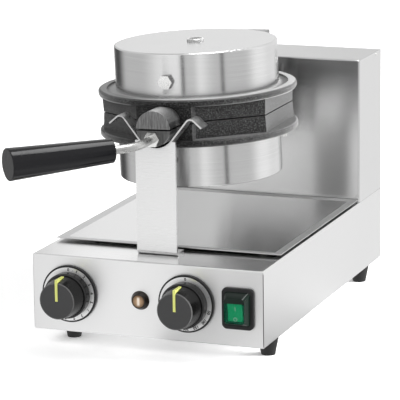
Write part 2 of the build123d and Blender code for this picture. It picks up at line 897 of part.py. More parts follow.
# Heater parts of both halves: drum, element, clamp disc, felt, stud, nut, bolt and cable guard
element_z = flange_top - recess_depth + element_radius + drum_seat
clamp_z = element_z + element_radius + drum_seat
felt_z = clamp_z + clamp_thickness

for half, up in (("upper", 1), ("lower", -1)):
    with BuildPart() as drum:
        with BuildSketch(level(up * drum_base)):
            with Locations((0, head_y)):
                Circle(drum_radius)
        extrude(amount=up * (drum_rise - drum_base))
        fillet(drum.faces().sort_by(Axis.Z)[-1 if up > 0 else 0].edges(), radius=drum_round)
        with BuildSketch(level(up * drum_base)):
            with Locations((0, head_y)):
                Circle(drum_radius - drum_sheet)
        extrude(amount=up * (drum_rise - drum_base - drum_sheet), mode=Mode.SUBTRACT)
        with BuildSketch(level(up * drum_rise)):
            with Locations((0, head_y)):
                Circle(stud_radius + slip)
        extrude(amount=-up * drum_sheet, mode=Mode.SUBTRACT)
        with BuildSketch(upright(head_y - drum_radius + drum_boss_length)):
            with Locations((0, up * drum_bolt_rise)):
                Circle(drum_boss_radius)
        extrude(amount=drum_boss_length - drum_sheet / 2)
        with BuildSketch(upright(head_y - drum_radius + drum_boss_length)):
            with Locations((0, up * drum_bolt_rise)):
                Circle(drum_bolt_radius)
        extrude(amount=drum_boss_length, mode=Mode.SUBTRACT)
    drum.part.label = f"{half}_drum"
    export_step(drum.part, f"parts/{half}_drum.step")

    with BuildPart() as element:
        with BuildSketch(upright(head_y)):
            with Locations((element_ring, up * element_z)):
                Circle(element_radius)
        ring_axis = Axis(level(0).from_local_coords(Vector(0, head_y, 0)), level(0).z_dir)
        revolve(axis=ring_axis, revolution_arc=element_arc)
    element.part.label = f"{half}_heating_element"
    export_step(element.part, f"parts/{half}_heating_element.step")

    with BuildPart() as clamp:
        with BuildSketch(level(up * clamp_z)):
            with Locations((0, head_y)):
                Circle(clamp_radius)
                Circle(stud_radius + slip, mode=Mode.SUBTRACT)
        extrude(amount=up * clamp_thickness)
    clamp.part.label = f"{half}_clamp_disc"
    export_step(clamp.part, f"parts/{half}_clamp_disc.step")

    with BuildPart() as felt:
        with BuildSketch(level(up * felt_z)):
            with Locations((0, head_y)):
                Circle(drum_radius - drum_sheet - felt_gap)
                Circle(stud_radius + slip, mode=Mode.SUBTRACT)
        extrude(amount=up * (drum_rise - drum_sheet - felt_gap - felt_z))
        with BuildSketch(upright(head_y - drum_radius)):
            with Locations((0, up * drum_bolt_rise)):
                Circle(drum_boss_radius + felt_gap)
        extrude(amount=-drum_bolt_length - felt_gap, mode=Mode.SUBTRACT)
    felt.part.label = f"{half}_insulation_felt"
    export_step(felt.part, f"parts/{half}_insulation_felt.step")

    with BuildPart() as stud:
        with BuildSketch(level(up * (flange_top - flange_thickness))):
            with Locations((0, head_y)):
                Circle(stud_radius)
        extrude(amount=up * (drum_rise + nut_height - nut_dish_depth - flange_top + flange_thickness))
    stud.part.label = f"{half}_centre_stud"
    export_step(stud.part, f"parts/{half}_centre_stud.step")

    with BuildPart() as nut:
        with BuildSketch(level(up * drum_rise)):
            with Locations((0, head_y)):
                Circle(nut_radius)
        extrude(amount=up * nut_height)
        chamfer(nut.edges().filter_by(GeomType.CIRCLE).sort_by(Axis.Z)[-1 if up > 0 else 0], length=nut_edge)
        with BuildSketch(level(up * (drum_rise + nut_height))):
            with Locations((0, head_y)):
                Circle(nut_dish_radius)
        extrude(amount=-up * nut_dish_depth, mode=Mode.SUBTRACT)
        with BuildSketch(level(up * drum_rise)):
            with Locations((0, head_y)):
                Circle(stud_radius)
        extrude(amount=up * nut_height, mode=Mode.SUBTRACT)
    nut.part.label = f"{half}_centre_nut"
    export_step(nut.part, f"parts/{half}_centre_nut.step")

    with BuildPart() as bolt:
        with BuildSketch(upright(head_y - drum_radius)):
            with Locations((0, up * drum_bolt_rise)):
                RegularPolygon(drum_bolt_flats / 2, 6, major_radius=False)
        extrude(amount=drum_bolt_head)
        with BuildSketch(upright(head_y - drum_radius)):
            with Locations((0, up * drum_bolt_rise)):
                Circle(drum_bolt_radius)
        extrude(amount=-drum_bolt_length)
    bolt.part.label = f"{half}_drum_bolt"
    export_step(bolt.part, f"parts/{half}_drum_bolt.step")

    guard_reach = hinge_y - head_y
    with BuildPart() as guard:
        with BuildSketch(level(up * guard_rise)):
            with Locations((0, head_y + guard_reach / 2)):
                Rectangle(2 * guard_half_width, guard_reach)
        extrude(amount=-up * guard_lip)
        with BuildSketch(level(up * (guard_rise - guard_sheet))):
            with Locations((0, head_y + guard_reach / 2 - guard_sheet)):
                Rectangle(2 * (guard_half_width - guard_sheet), guard_reach)
        extrude(amount=-up * guard_lip, mode=Mode.SUBTRACT)
        with BuildSketch(level(up * drum_base)):
            with Locations((0, head_y)):
                Circle(drum_radius + running_fit)
        extrude(amount=up * (drum_rise - drum_base), mode=Mode.SUBTRACT)
    guard.part.label = f"{half}_cable_guard"
    export_step(guard.part, f"parts/{half}_cable_guard.step")

# Earth screw under the rim of the lower casting
with BuildPart() as earth_screw:
    with BuildSketch(level(-flange_top)):
        with Locations((flange_radius - earth_screw_margin, head_y + earth_screw_y)):
            Circle(earth_screw_radius)
    extrude(amount=-earth_screw_length)
earth_screw.part.label = "lower_earth_screw"
export_step(earth_screw.part, "parts/lower_earth_screw.step")

# Hinge pin through the ears of both plates
with BuildPart() as hinge_pin:
    with BuildSketch(endwise(-yoke_half - pin_end)):
        with Locations((hinge_y, 0)):
            Circle(pin_radius)
    extrude(amount=2 * (yoke_half + pin_end))
hinge_pin.part.label = "hinge_pin"
export_step(hinge_pin.part, "parts/hinge_pin.step")

# Hollow shaft: its flange is screwed to the yoke, and the heater leads pass through its bore
bracket_front = tower_front + sheet
bush_front = bracket_front - bush_flange
bush_back = bracket_front + bush_length
shaft_end = bush_back + collar_width + shaft_tail

with BuildPart() as hollow_shaft:
    with BuildSketch(upright(yoke_back)):
        Circle(shaft_flange_radius)
    extrude(amount=-shaft_flange_thickness)
    with BuildSketch(upright(yoke_back)):
        Circle(shaft_shoulder_radius)
    extrude(amount=-(bush_front - shoulder_gap - yoke_back))
    with BuildSketch(upright(yoke_back)):
        Circle(shaft_radius)
    extrude(amount=-(shaft_end - yoke_back))
    with BuildSketch(upright(yoke_back)):
        Circle(shaft_bore)
    extrude(amount=-(shaft_end - yoke_back), mode=Mode.SUBTRACT)
    with BuildSketch(upright(yoke_back)):
        with Locations((-shaft_screw_spread / 2, 0), (shaft_screw_spread / 2, 0)):
            Circle(shaft_screw_radius + slip)
    extrude(amount=-shaft_flange_thickness, mode=Mode.SUBTRACT)
hollow_shaft.part.label = "hollow_shaft"
export_step(hollow_shaft.part, "parts/hollow_shaft.step")

with BuildPart() as shaft_screws:
    with BuildSketch(upright(yoke_back + shaft_flange_thickness)):
        with Locations((-shaft_screw_spread / 2, 0), (shaft_screw_spread / 2, 0)):
            Circle(shaft_screw_head)
    extrude(amount=-shaft_screw_radius)
    with BuildSketch(upright(yoke_back + shaft_flange_thickness)):
        with Locations((-shaft_screw_spread / 2, 0), (shaft_screw_spread / 2, 0)):
            Circle(shaft_screw_radius)
    extrude(amount=shaft_screw_length)
shaft_screws.part.label = "shaft_screws"
export_step(shaft_screws.part, "parts/shaft_screws.step")

# Bearing bracket inside the tower, standing on the base
with BuildPart() as bearing_bracket:
    with BuildSketch(Plane.YZ.offset(-bracket_width / 2)):
        with BuildLine():
            Polyline(
                (bracket_front, base_top),
                (bracket_front + bracket_foot, base_top),
                (bracket_front + bracket_foot, base_top + bracket_thickness),
                (bracket_front + bracket_thickness, base_top + bracket_thickness),
                (bracket_front + bracket_thickness, tower_top - 2 * sheet),
                (bracket_front, tower_top - 2 * sheet),
                close=True,
            )
        make_face()
    extrude(amount=bracket_width)
    with BuildSketch(across(bracket_front)):
        with Locations((0, axis_z)):
            Circle(bush_radius)
    extrude(amount=-bracket_thickness, mode=Mode.SUBTRACT)
    with BuildSketch(Plane.XY.offset(base_top)):
        with Locations((0, lead_hole_y)):
            Circle(shaft_radius)
    extrude(amount=bracket_thickness, mode=Mode.SUBTRACT)
bearing_bracket.part.label = "bearing_bracket"
export_step(bearing_bracket.part, "parts/bearing_bracket.step")

# Flanged bush in which the shaft turns
with BuildPart() as bearing_bush:
    with BuildSketch(across(bracket_front)):
        with Locations((0, axis_z)):
            Circle(bush_flange_radius)
    extrude(amount=bush_flange)
    with BuildSketch(across(bracket_front)):
        with Locations((0, axis_z)):
            Circle(bush_radius)
    extrude(amount=-bush_length)
    with BuildSketch(across(bracket_front - bush_flange)):
        with Locations((0, axis_z)):
            Circle(shaft_radius + running_fit)
    extrude(amount=-bush_length - bush_flange, mode=Mode.SUBTRACT)
bearing_bush.part.label = "bearing_bush"
export_step(bearing_bush.part, "parts/bearing_bush.step")

# Collar that keeps the shaft from sliding forward
with BuildPart() as shaft_collar:
    with BuildSketch(across(bush_back + slip)):
        with Locations((0, axis_z)):
            Circle(collar_radius)
            Circle(shaft_radius, mode=Mode.SUBTRACT)
    extrude(amount=-collar_width)
shaft_collar.part.label = "shaft_collar"
export_step(shaft_collar.part, "parts/shaft_collar.step")

# Handle rod: threaded into the lower half boss, straight forward and then bent out to the left
handle_plane = level(-rod_drop)
reach_x = -cos(radians(handle_angle))
reach_y = -sin(radians(handle_angle))
vertex_y = front - handle_vertex
rod_end = grip_start + rod_in_grip

with BuildPart() as handle_rod:
    with BuildLine(handle_plane) as rod_path:
        FilletPolyline(
            (0, boss_y + rod_thread),
            (0, vertex_y),
            (reach_x * rod_end, vertex_y + reach_y * rod_end),
            radius=handle_bend,
        )
    with BuildSketch(Plane(origin=rod_path.line @ 0, z_dir=rod_path.line % 0)):
        Circle(rod_radius)
    sweep()
handle_rod.part.label = "handle_rod"
export_step(handle_rod.part, "parts/handle_rod.step")

with BuildPart() as lock_nut:
    with BuildSketch(upright(boss_y)):
        with Locations((0, -rod_drop)):
            RegularPolygon(lock_nut_flats / 2, 6, major_radius=False)
            Circle(rod_radius, mode=Mode.SUBTRACT)
    extrude(amount=lock_nut_width)
lock_nut.part.label = "handle_lock_nut"
export_step(lock_nut.part, "parts/handle_lock_nut.step")

# Grip: a moulded taper over the rod's end, thicker at its free end
grip_way = handle_plane.from_local_coords(Vector(reach_x, reach_y, 0)) - handle_plane.origin
grip_near = handle_plane.from_local_coords(Vector(reach_x * grip_start, vertex_y + reach_y * grip_start, 0))
grip_far = grip_near + grip_way * grip_length

with BuildPart() as handle_grip:
    with BuildSketch(Plane(origin=grip_near, z_dir=grip_way)):
        Circle(grip_inner_radius)
    with BuildSketch(Plane(origin=grip_far, z_dir=grip_way)):
        Circle(grip_outer_radius)
    loft()
    fillet(handle_grip.edges().filter_by(GeomType.CIRCLE), radius=grip_end_round)
    with BuildSketch(Plane(origin=grip_near, z_dir=grip_way)):
        Circle(rod_radius + running_fit)
    extrude(amount=rod_in_grip, mode=Mode.SUBTRACT)
handle_grip.part.label = "handle_grip"
export_step(handle_grip.part, "parts/handle_grip.step")

# Dials and knobs: the timer on the left and the thermostat beside the lamp
dial_face = front - dial_thickness
scale_face = dial_face - scale_thickness
knob_back = scale_face - slip
knob_front = knob_back - knob_length

for control, place in (("timer", timer_x), ("thermostat", thermostat_x)):
    with BuildPart() as dial:
        with BuildSketch(across(front)):
            with Locations((place, dial_z)):
                Circle(dial_radius)
                Circle(bushing_radius + slip, mode=Mode.SUBTRACT)
        extrude(amount=dial_thickness)
        chamfer(dial.faces().sort_by(Axis.Y)[0].edges().sort_by(SortBy.LENGTH)[-1], length=scale_thickness)
    dial.part.label = f"{control}_dial"
    export_step(dial.part, f"parts/{control}_dial.step")

    with BuildPart() as scale_ring:
        with BuildSketch(across(dial_face)):
            with Locations((place, dial_z)):
                Circle(scale_outer)
                Circle(scale_inner, mode=Mode.SUBTRACT)
        extrude(amount=scale_thickness)
    scale_ring.part.label = f"{control}_scale"
    export_step(scale_ring.part, f"parts/{control}_scale.step")

    with BuildPart() as knob:
        with BuildSketch(Plane.YZ.offset(place)):
            with BuildLine():
                Polyline(
                    (knob_back, dial_z),
                    (knob_back, dial_z + knob_skirt_radius),
                    (knob_back - knob_skirt, dial_z + knob_skirt_radius),
                    (knob_back - knob_skirt, dial_z + knob_neck_radius),
                    (knob_front + knob_edge, dial_z + knob_face_radius),
                    (knob_front, dial_z + knob_face_radius - knob_edge),
                    (knob_front, dial_z),
                    close=True,
                )
            make_face()
        revolve(axis=Axis((place, front, dial_z), (0, 1, 0)))
        with BuildSketch(across(knob_back)):
            with Locations((place, dial_z)):
                Circle(spindle_radius)
        extrude(amount=spindle_depth, mode=Mode.SUBTRACT)
        with BuildSketch(across(knob_back)):
            with Locations((place, dial_z)):
                Circle(knob_bore)
                Circle(knob_hub, mode=Mode.SUBTRACT)
        extrude(amount=knob_hub_gap_depth, mode=Mode.SUBTRACT)
        with BuildSketch(across(knob_front)):
            with Locations((place, dial_z + knob_neck_radius / 2)):
                Rectangle(pointer_width, knob_neck_radius)
        extrude(amount=-pointer_height, mode=Mode.SUBTRACT)
    knob.part.label = f"{control}_knob"
    export_step(knob.part, f"parts/{control}_knob.step")

    with BuildPart() as pointer:
        with BuildSketch(across(knob_front - pointer_height)):
            with Locations((place, dial_z + knob_neck_radius / 2)):
                Rectangle(pointer_width, knob_neck_radius)
        extrude(amount=-2 * pointer_height)
        with BuildSketch(across(knob_front - pointer_height)):
            with Locations((place, dial_z + (knob_neck_radius + pointer_height) / 2)):
                Rectangle(pointer_width, knob_neck_radius + pointer_height)
        extrude(amount=-pointer_back)
        with BuildSketch(Plane.YZ.offset(place)):
            with BuildLine():
                Polyline(
                    (knob_back, dial_z),
                    (knob_back, dial_z + knob_neck_radius),
                    (knob_back - knob_skirt, dial_z + knob_neck_radius),
                    (knob_front + knob_edge, dial_z + knob_face_radius),
                    (knob_front + pointer_height, dial_z + knob_face_radius - knob_edge / 2),
                    (knob_front + pointer_height, dial_z),
                    close=True,
                )
            make_face()
        revolve(axis=Axis((place, front, dial_z), (0, 1, 0)), mode=Mode.SUBTRACT)
    pointer.part.label = f"{control}_pointer"
    export_step(pointer.part, f"parts/{control}_pointer.step")

    with BuildPart() as spindle:
        with BuildSketch(across(knob_back - spindle_depth)):
            with Locations((place, dial_z)):
                Circle(spindle_radius)
        extrude(amount=-(front + sheet + spindle_in_body - knob_back + spindle_depth))
    spindle.part.label = f"{control}_spindle"
    export_step(spindle.part, f"parts/{control}_spindle.step")

    with BuildPart() as body:
        with BuildSketch(across(front + sheet)):
            with Locations((place, dial_z)):
                Rectangle(control_body, control_body)
        extrude(amount=-control_depth)
        with BuildSketch(across(front + sheet)):
            with Locations((place, dial_z)):
                Circle(bushing_radius)
        extrude(amount=sheet + dial_thickness)
        with BuildSketch(across(dial_face)):
            with Locations((place, dial_z)):
                Circle(spindle_radius + running_fit)
        extrude(amount=-(dial_thickness + sheet + spindle_in_body + slip), mode=Mode.SUBTRACT)
    body.part.label = f"{control}_body"
    export_step(body.part, f"parts/{control}_body.step")

# Pilot lamp: black bezel, amber lens and the body behind the panel
lamp_z = base_bottom + lamp_rise
with BuildPart() as lamp_bezel:
    with BuildSketch(across(front)):
        with Locations((lamp_x, lamp_z)):
            Circle(lamp_bezel_radius)
    with BuildSketch(across(front - lamp_proud)):
        with Locations((lamp_x, lamp_z)):
            Circle(lamp_front_radius)
    loft()
    with BuildSketch(across(front)):
        with Locations((lamp_x, lamp_z)):
            Circle(lamp_body_radius)
    extrude(amount=-lamp_body_length)
    with BuildSketch(across(front - lamp_proud)):
        with Locations((lamp_x, lamp_z)):
            Circle(lamp_lens_radius)
    extrude(amount=-lamp_proud + lamp_seat, mode=Mode.SUBTRACT)
lamp_bezel.part.label = "lamp_bezel"
export_step(lamp_bezel.part, "parts/lamp_bezel.step")

with BuildPart() as lamp_lens:
    with BuildSketch(across(front - lamp_seat)):
        with Locations((lamp_x, lamp_z)):
            Circle(lamp_lens_radius)
    extrude(amount=lamp_proud - lamp_seat + lens_dome)
    fillet(lamp_lens.faces().sort_by(Axis.Y)[0].edges(), radius=lens_dome)
lamp_lens.part.label = "lamp_lens"
export_step(lamp_lens.part, "parts/lamp_lens.step")

# Rocker switch: frame with its body behind the panel, clear boot and rocker
switch_z = base_bottom + switch_rise
frame_face = front - switch_frame
pivot_y = frame_face + rocker_pivot
well_width = rocker_width + 2 * well_side_gap
well_height = rocker_height + 2 * well_end_gap

with BuildPart() as switch_housing:
    with BuildSketch(across(front)):
        with Locations((switch_x, switch_z)):
            RectangleRounded(switch_width, switch_height, switch_round)
    extrude(amount=switch_frame)
    fillet(switch_housing.faces().sort_by(Axis.Y)[0].edges(), radius=switch_frame / 3)
    with BuildSketch(across(front)):
        with Locations((switch_x, switch_z)):
            Rectangle(switch_body_width, switch_body_height)
    extrude(amount=-switch_body_depth)
    with BuildSketch(across(frame_face)):
        with Locations((switch_x, switch_z)):
            Rectangle(well_width, well_height)
    extrude(amount=-(rocker_pivot + rocker_tail + boot_wall), mode=Mode.SUBTRACT)
    with BuildSketch(Plane.YZ.offset(switch_x - switch_body_width / 2)):
        with Locations((pivot_y, switch_z)):
            Circle(trunnion_radius + running_fit)
    extrude(amount=switch_body_width, mode=Mode.SUBTRACT)
switch_housing.part.label = "switch_housing"
export_step(switch_housing.part, "parts/switch_housing.step")

with BuildPart() as switch_boot:
    for wall, mode in ((0, Mode.ADD), (boot_wall, Mode.SUBTRACT)):
        with BuildSketch(across(frame_face)):
            with Locations((switch_x, switch_z)):
                RectangleRounded(boot_width - 2 * wall, boot_height - 2 * wall, boot_round)
        with BuildSketch(across(frame_face - boot_proud + wall)):
            with Locations((switch_x, switch_z)):
                RectangleRounded(boot_face_width - 2 * wall, boot_face_height - 2 * wall, boot_round)
        loft(mode=mode)
switch_boot.part.label = "switch_boot"
export_step(switch_boot.part, "parts/switch_boot.step")

# The rocker rests with its lower end pressed in and turns on trunnions in the housing's side walls
lean = radians(rocker_tilt)
rocker_plane = Plane(
    origin=(switch_x - rocker_width / 2, pivot_y, switch_z),
    x_dir=(0, -cos(lean), -sin(lean)),
    z_dir=(1, 0, 0),
)

with BuildPart() as switch_rocker:
    with BuildSketch(rocker_plane):
        with BuildLine():
            Polyline(
                (-rocker_tail, -rocker_tail_half),
                (0, -rocker_shoulder),
                (rocker_top, -rocker_height / 2),
                (rocker_top - rocker_dish, 0),
                (rocker_top, rocker_height / 2),
                (0, rocker_shoulder),
                (-rocker_tail, rocker_tail_half),
                close=True,
            )
        make_face()
    extrude(amount=rocker_width)
    with BuildSketch(Plane.YZ.offset(switch_x - switch_body_width / 2 + trunnion_gap)):
        with Locations((pivot_y, switch_z)):
            Circle(trunnion_radius)
    extrude(amount=switch_body_width - 2 * trunnion_gap)
switch_rocker.part.label = "switch_rocker"
export_step(switch_rocker.part, "parts/switch_rocker.step")
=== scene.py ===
# %% [markdown]
# # A rotary bubble waffle maker
# The machine is a folded steel base with a tower at the back, a turning head of two cast plates
# between two heater drums, and a bent handle with a black grip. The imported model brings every
# solid piece in its real place. This lesson gives the pieces their metals, plastics and print, and
# then sets up the floor, the light and the camera.

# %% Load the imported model
from math import cos, pi, radians, sin, tan

import bmesh
import bpy
from mathutils import Matrix, Vector


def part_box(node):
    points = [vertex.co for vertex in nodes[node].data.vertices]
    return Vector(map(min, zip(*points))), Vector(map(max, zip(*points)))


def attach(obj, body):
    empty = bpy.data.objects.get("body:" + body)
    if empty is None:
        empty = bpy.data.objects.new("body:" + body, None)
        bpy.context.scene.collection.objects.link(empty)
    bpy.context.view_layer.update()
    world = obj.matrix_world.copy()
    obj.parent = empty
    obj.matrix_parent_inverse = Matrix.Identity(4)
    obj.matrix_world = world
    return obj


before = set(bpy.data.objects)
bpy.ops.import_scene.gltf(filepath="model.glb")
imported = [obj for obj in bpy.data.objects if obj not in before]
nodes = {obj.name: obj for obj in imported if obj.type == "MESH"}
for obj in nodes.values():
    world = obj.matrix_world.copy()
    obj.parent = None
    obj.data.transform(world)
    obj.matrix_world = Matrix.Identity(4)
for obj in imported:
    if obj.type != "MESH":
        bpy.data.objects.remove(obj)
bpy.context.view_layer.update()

print("pieces in the packed model:", len(nodes))

# %% [markdown]
# ## A finish is a small recipe
# Each finish is a Principled shader. What is the same all over a surface, such as how metallic it
# is, is a plain number on the shader. What varies, such as brush lines or specks, comes from noise
# that is read in the piece's own coordinates, so that it turns with the piece.

# %% Start a finish
def grey(tone):
    return (tone, tone, tone, 1)


def start_finish(name, colour, roughness, metallic=0.0, **more):
    """A Principled finish; more names any other socket, with _ for each space in its name."""
    finish = bpy.data.materials.new(name)
    finish.use_nodes = True
    shader = finish.node_tree.nodes["Principled BSDF"]
    shader.inputs["Base Color"].default_value = (*colour[:3], 1)
    shader.inputs["Roughness"].default_value = roughness
    shader.inputs["Metallic"].default_value = metallic
    for socket, value in more.items():
        shader.inputs[socket.replace("_", " ")].default_value = value
    return finish, finish.node_tree, shader


# %% [markdown]
# The nodes of a recipe are added in code. Every helper takes either a plain value or another node's
# output, so a recipe reads like a sum.

# %% Add nodes and join them
def put(tree, target, value):
    """Feeds a socket with another node's output, or with a plain value."""
    if isinstance(value, bpy.types.NodeSocket):
        tree.links.new(value, target)
    else:
        target.default_value = value


def add_node(tree, kind, **sockets):
    made = tree.nodes.new("ShaderNode" + kind)
    for socket, value in sockets.items():
        put(tree, made.inputs[socket], value)
    return made


def maths(tree, how, *values):
    made = tree.nodes.new("ShaderNodeMath")
    made.operation = how
    for target, value in zip(made.inputs, values):
        put(tree, target, value)
    return made.outputs[0]


def plus(tree, first, second):
    return maths(tree, "ADD", first, second)


def minus(tree, first, second):
    return maths(tree, "SUBTRACT", first, second)


def times(tree, first, second):
    return maths(tree, "MULTIPLY", first, second)


def mixed(tree, share, first, second, kind="RGBA"):
    """Mixes two colours or two vectors; each kind has its own sockets on the Mix node."""
    made = tree.nodes.new("ShaderNodeMix")
    made.data_type = kind
    low, out = {"VECTOR": (4, 1), "RGBA": (6, 2)}[kind]
    put(tree, made.inputs[0], share)
    put(tree, made.inputs[low], first)
    put(tree, made.inputs[low + 1], second)
    return made.outputs[out]


# %% [markdown]
# A recipe asks where a point is on its piece, which way it faces and what the noise says there.
# These answers don't change when the camera moves.

# %% Read the place, the facing and the noise
def own_place(tree):
    """The point's place in the piece's own coordinates, in metres, as three sockets."""
    place = tree.nodes.new("ShaderNodeTexCoord").outputs["Object"]
    return add_node(tree, "SeparateXYZ", Vector=place).outputs


def own_facing(tree, axis):
    """How far the point faces along an axis of the piece, from -1 to 1."""
    facing = tree.nodes.new("ShaderNodeTexCoord").outputs["Normal"]
    return add_node(tree, "SeparateXYZ", Vector=facing).outputs[axis]


def spread(tree, value, low, high, from_low=0.3, from_high=0.7):
    """Maps a noise value, which seldom leaves 0.3 to 0.7, to a range that a socket can use."""
    made = add_node(tree, "MapRange", Value=value)
    limits = {"From Min": from_low, "From Max": from_high, "To Min": low, "To Max": high}
    for socket, number in limits.items():
        made.inputs[socket].default_value = number
    return made.outputs[0]


def noise(tree, scale, detail=3.0, roughness=0.5, stretch=(1, 1, 1)):
    place = tree.nodes.new("ShaderNodeTexCoord").outputs["Object"]
    stretched = add_node(tree, "Mapping", Vector=place, Scale=stretch).outputs[0]
    made = add_node(tree, "TexNoise", Vector=stretched, Scale=scale, Detail=detail, Roughness=roughness)
    return made.outputs[0]


def emboss(tree, shader, height, strength, distance):
    made = add_node(tree, "Bump", Height=height, Strength=strength, Distance=distance)
    tree.links.new(made.outputs[0], shader.inputs["Normal"])


# %% [markdown]
# ## Brushed stainless steel
# The sheet is ground with a fine belt, so its scratches run one way and are much longer than they
# are wide. Noise stretched more than two hundredfold along the brushing gives such scratches. On
# upright faces they run level, and on flat faces they run across the machine. A brushed surface
# smears what it mirrors across its scratches. The shader's highlight is long along its tangent, so
# the tangent goes straight up on upright faces and to the back on flat ones.

# %% Brushed steel
flat_from = 0.75
brush_run = 9


def brushed_steel(name, tone, roughness, smear, depth, grain=2400.0, contrast=0.03, upright_dull=0.0,
                  flat_painted_shade=1.0):
    """Upright faces may be duller than flat ones, and flat ones are painted darker, as painted shade on
    tops.
    """
    finish, tree, shader = start_finish(name, grey(tone), roughness, 1.0, Anisotropic=smear)
    is_flat = maths(tree, "GREATER_THAN", maths(tree, "ABSOLUTE", own_facing(tree, 2)), flat_from)
    is_upright = minus(tree, 1.0, is_flat)
    on_upright = noise(tree, 1.0, 3.0, 0.6, (brush_run, brush_run, grain))
    on_flat = noise(tree, 1.0, 3.0, 0.6, (brush_run, grain, brush_run))
    scratches = plus(tree, times(tree, on_flat, is_flat), times(tree, on_upright, is_upright))
    smudges = spread(tree, noise(tree, 9.0, 2.0), -0.01, 0.02)
    rough = plus(tree, spread(tree, scratches, roughness - 0.03, roughness + 0.03), smudges)
    duller = times(tree, is_upright, upright_dull)
    put(tree, shader.inputs["Roughness"], plus(tree, rough, duller))
    between = spread(tree, scratches, 0.0, 1.0)
    dark = tone * (1 - contrast)
    upright_tone = mixed(tree, between, grey(dark), grey(tone))
    # Painted shade: flat faces take a darker share of the colour.
    level_tone = mixed(tree, between, grey(dark * flat_painted_shade), grey(tone * flat_painted_shade))
    put(tree, shader.inputs["Base Color"], mixed(tree, is_flat, upright_tone, level_tone))
    emboss(tree, shader, scratches, depth, 0.0001)
    straight_up = add_node(tree, "CombineXYZ", Z=1.0).outputs[0]
    to_the_back = add_node(tree, "CombineXYZ", Y=1.0).outputs[0]
    put(tree, shader.inputs["Tangent"], mixed(tree, is_flat, straight_up, to_the_back, "VECTOR"))
    return finish


base_steel = brushed_steel("base_sheet", 0.88, 0.17, 0.4, 0.006, contrast=0.012, upright_dull=0.25)
# The flat tops of the tower and the drums are painted darker than their sides, as painted shade.
tower_steel = brushed_steel("tower_sheet", 0.82, 0.18, 1.0, 0.01, contrast=0.04, flat_painted_shade=0.80)
drum_steel = brushed_steel("brushed_drum", 0.82, 0.22, 0.8, 0.03, 2000.0, contrast=0.10, flat_painted_shade=0.92)
sheet_steel = brushed_steel("brushed_sheet", 0.83, 0.28, 0.6, 0.01, contrast=0.015)
print("brushed steels:", base_steel.name, tower_steel.name, drum_steel.name, sheet_steel.name)

# %% [markdown]
# The front of the tower is painted a little darker towards its top, as a painted reflection of the
# dark head in front of it. The recipe of the tower's steel is taken up again, and a share of its
# colour is held back there.

# %% Painted reflection on the tower
painted_reflection_from = 0.195
painted_reflection_to = 0.245
colour_left = 0.70
front_facing = -0.9


def tint_tower():
    tree = tower_steel.node_tree
    colour = tree.nodes["Principled BSDF"].inputs["Base Color"]
    is_front = maths(tree, "LESS_THAN", own_facing(tree, 1), front_facing)
    by_height = spread(tree, own_place(tree)[2], 0.0, 1.0, painted_reflection_from, painted_reflection_to)
    plain = colour.links[0].from_socket
    # Painted reflection: a darker share of the colour stands for the dark head mirrored in the front.
    painted_darker = mixed(tree, colour_left, grey(0), plain)
    put(tree, colour, mixed(tree, times(tree, by_height, is_front), plain, painted_darker))


tint_tower()
print("tower tinted from", painted_reflection_from, "to", painted_reflection_to, "m above the bench")

# %% [markdown]
# The tray has a smoother, colder finish than the rest. Its border was rolled over a tool, which left
# it duller than the middle, so the border reads as a strip of even grey all round.

# %% Tray steel
border_width = 0.0095
border_tone = 0.66
border_dull = 0.25


def to_nearer_side(tree, place, low, high):
    return maths(tree, "MINIMUM", minus(tree, place, low), minus(tree, high, place))


def tray_finish():
    low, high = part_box("drip_tray")
    finish = brushed_steel("tray_sheet", 0.75, 0.16, 0.2, 0.006, contrast=0.015)
    tree = finish.node_tree
    shader = tree.nodes["Principled BSDF"]
    x, y, _ = own_place(tree)
    to_edge = maths(tree, "MINIMUM", to_nearer_side(tree, x, low[0], high[0]),
                    to_nearer_side(tree, y, low[1], high[1]))
    on_border = maths(tree, "LESS_THAN", to_edge, border_width)
    middle_rough = shader.inputs["Roughness"].links[0].from_socket
    put(tree, shader.inputs["Roughness"], plus(tree, middle_rough, times(tree, on_border, border_dull)))
    middle_tone = shader.inputs["Base Color"].links[0].from_socket
    put(tree, shader.inputs["Base Color"], mixed(tree, on_border, middle_tone, grey(border_tone)))
    return finish


tray_steel = tray_finish()
print("tray steel with a duller border:", border_width * 1000, "mm wide")


# %% [markdown]
# ## Bright steel
# Screws, nuts, the spring strip and the handle rod are turned or plated, so they are smoother than
# the sheet and mirror what is around them, with only a slight waviness. The pieces inside are duller
# and darker. The cable guards are duller too, and their darker grey is painted shade.

# %% Bright steel and the duller metals
def plain_metal(name, colour, roughness, waviness=0.03):
    finish, tree, shader = start_finish(name, colour, roughness, 1.0)
    wear = noise(tree, 120.0)
    put(tree, shader.inputs["Roughness"], spread(tree, wear, roughness - 0.05, roughness + 0.08))
    emboss(tree, shader, wear, waviness, 0.0002)
    return finish


bright_steel = plain_metal("bright_steel", (0.90, 0.90, 0.89), 0.18, 0.01)
spring_steel = plain_metal("spring_steel", grey(0.72), 0.3)
rod_steel = plain_metal("rod_steel", (0.62, 0.62, 0.61), 0.26, 0.01)
# The cable guards' darker grey is painted shade.
guard_steel_painted_shade = plain_metal("guard_steel_painted_shade", grey(0.40), 0.4)
bronze = plain_metal("turned_bronze", (0.62, 0.42, 0.2), 0.3)
zinc_plate = plain_metal("zinc_plate", (0.6, 0.61, 0.62), 0.42)
element_sheath = plain_metal("element_sheath", (0.24, 0.22, 0.2), 0.55)
print("plain metals:", bright_steel.name, spring_steel.name, rod_steel.name, guard_steel_painted_shade.name,
      bronze.name, zinc_plate.name, element_sheath.name)

# %% [markdown]
# The drum bolts and centre nuts are turned bright on their ends, while their flanks are painted
# darker, as painted shade. The finish asks how far a face points along the fastener's axis.

# %% Bolts and nuts with painted shade on their flanks
end_colour = (0.95, 0.95, 0.94, 1)


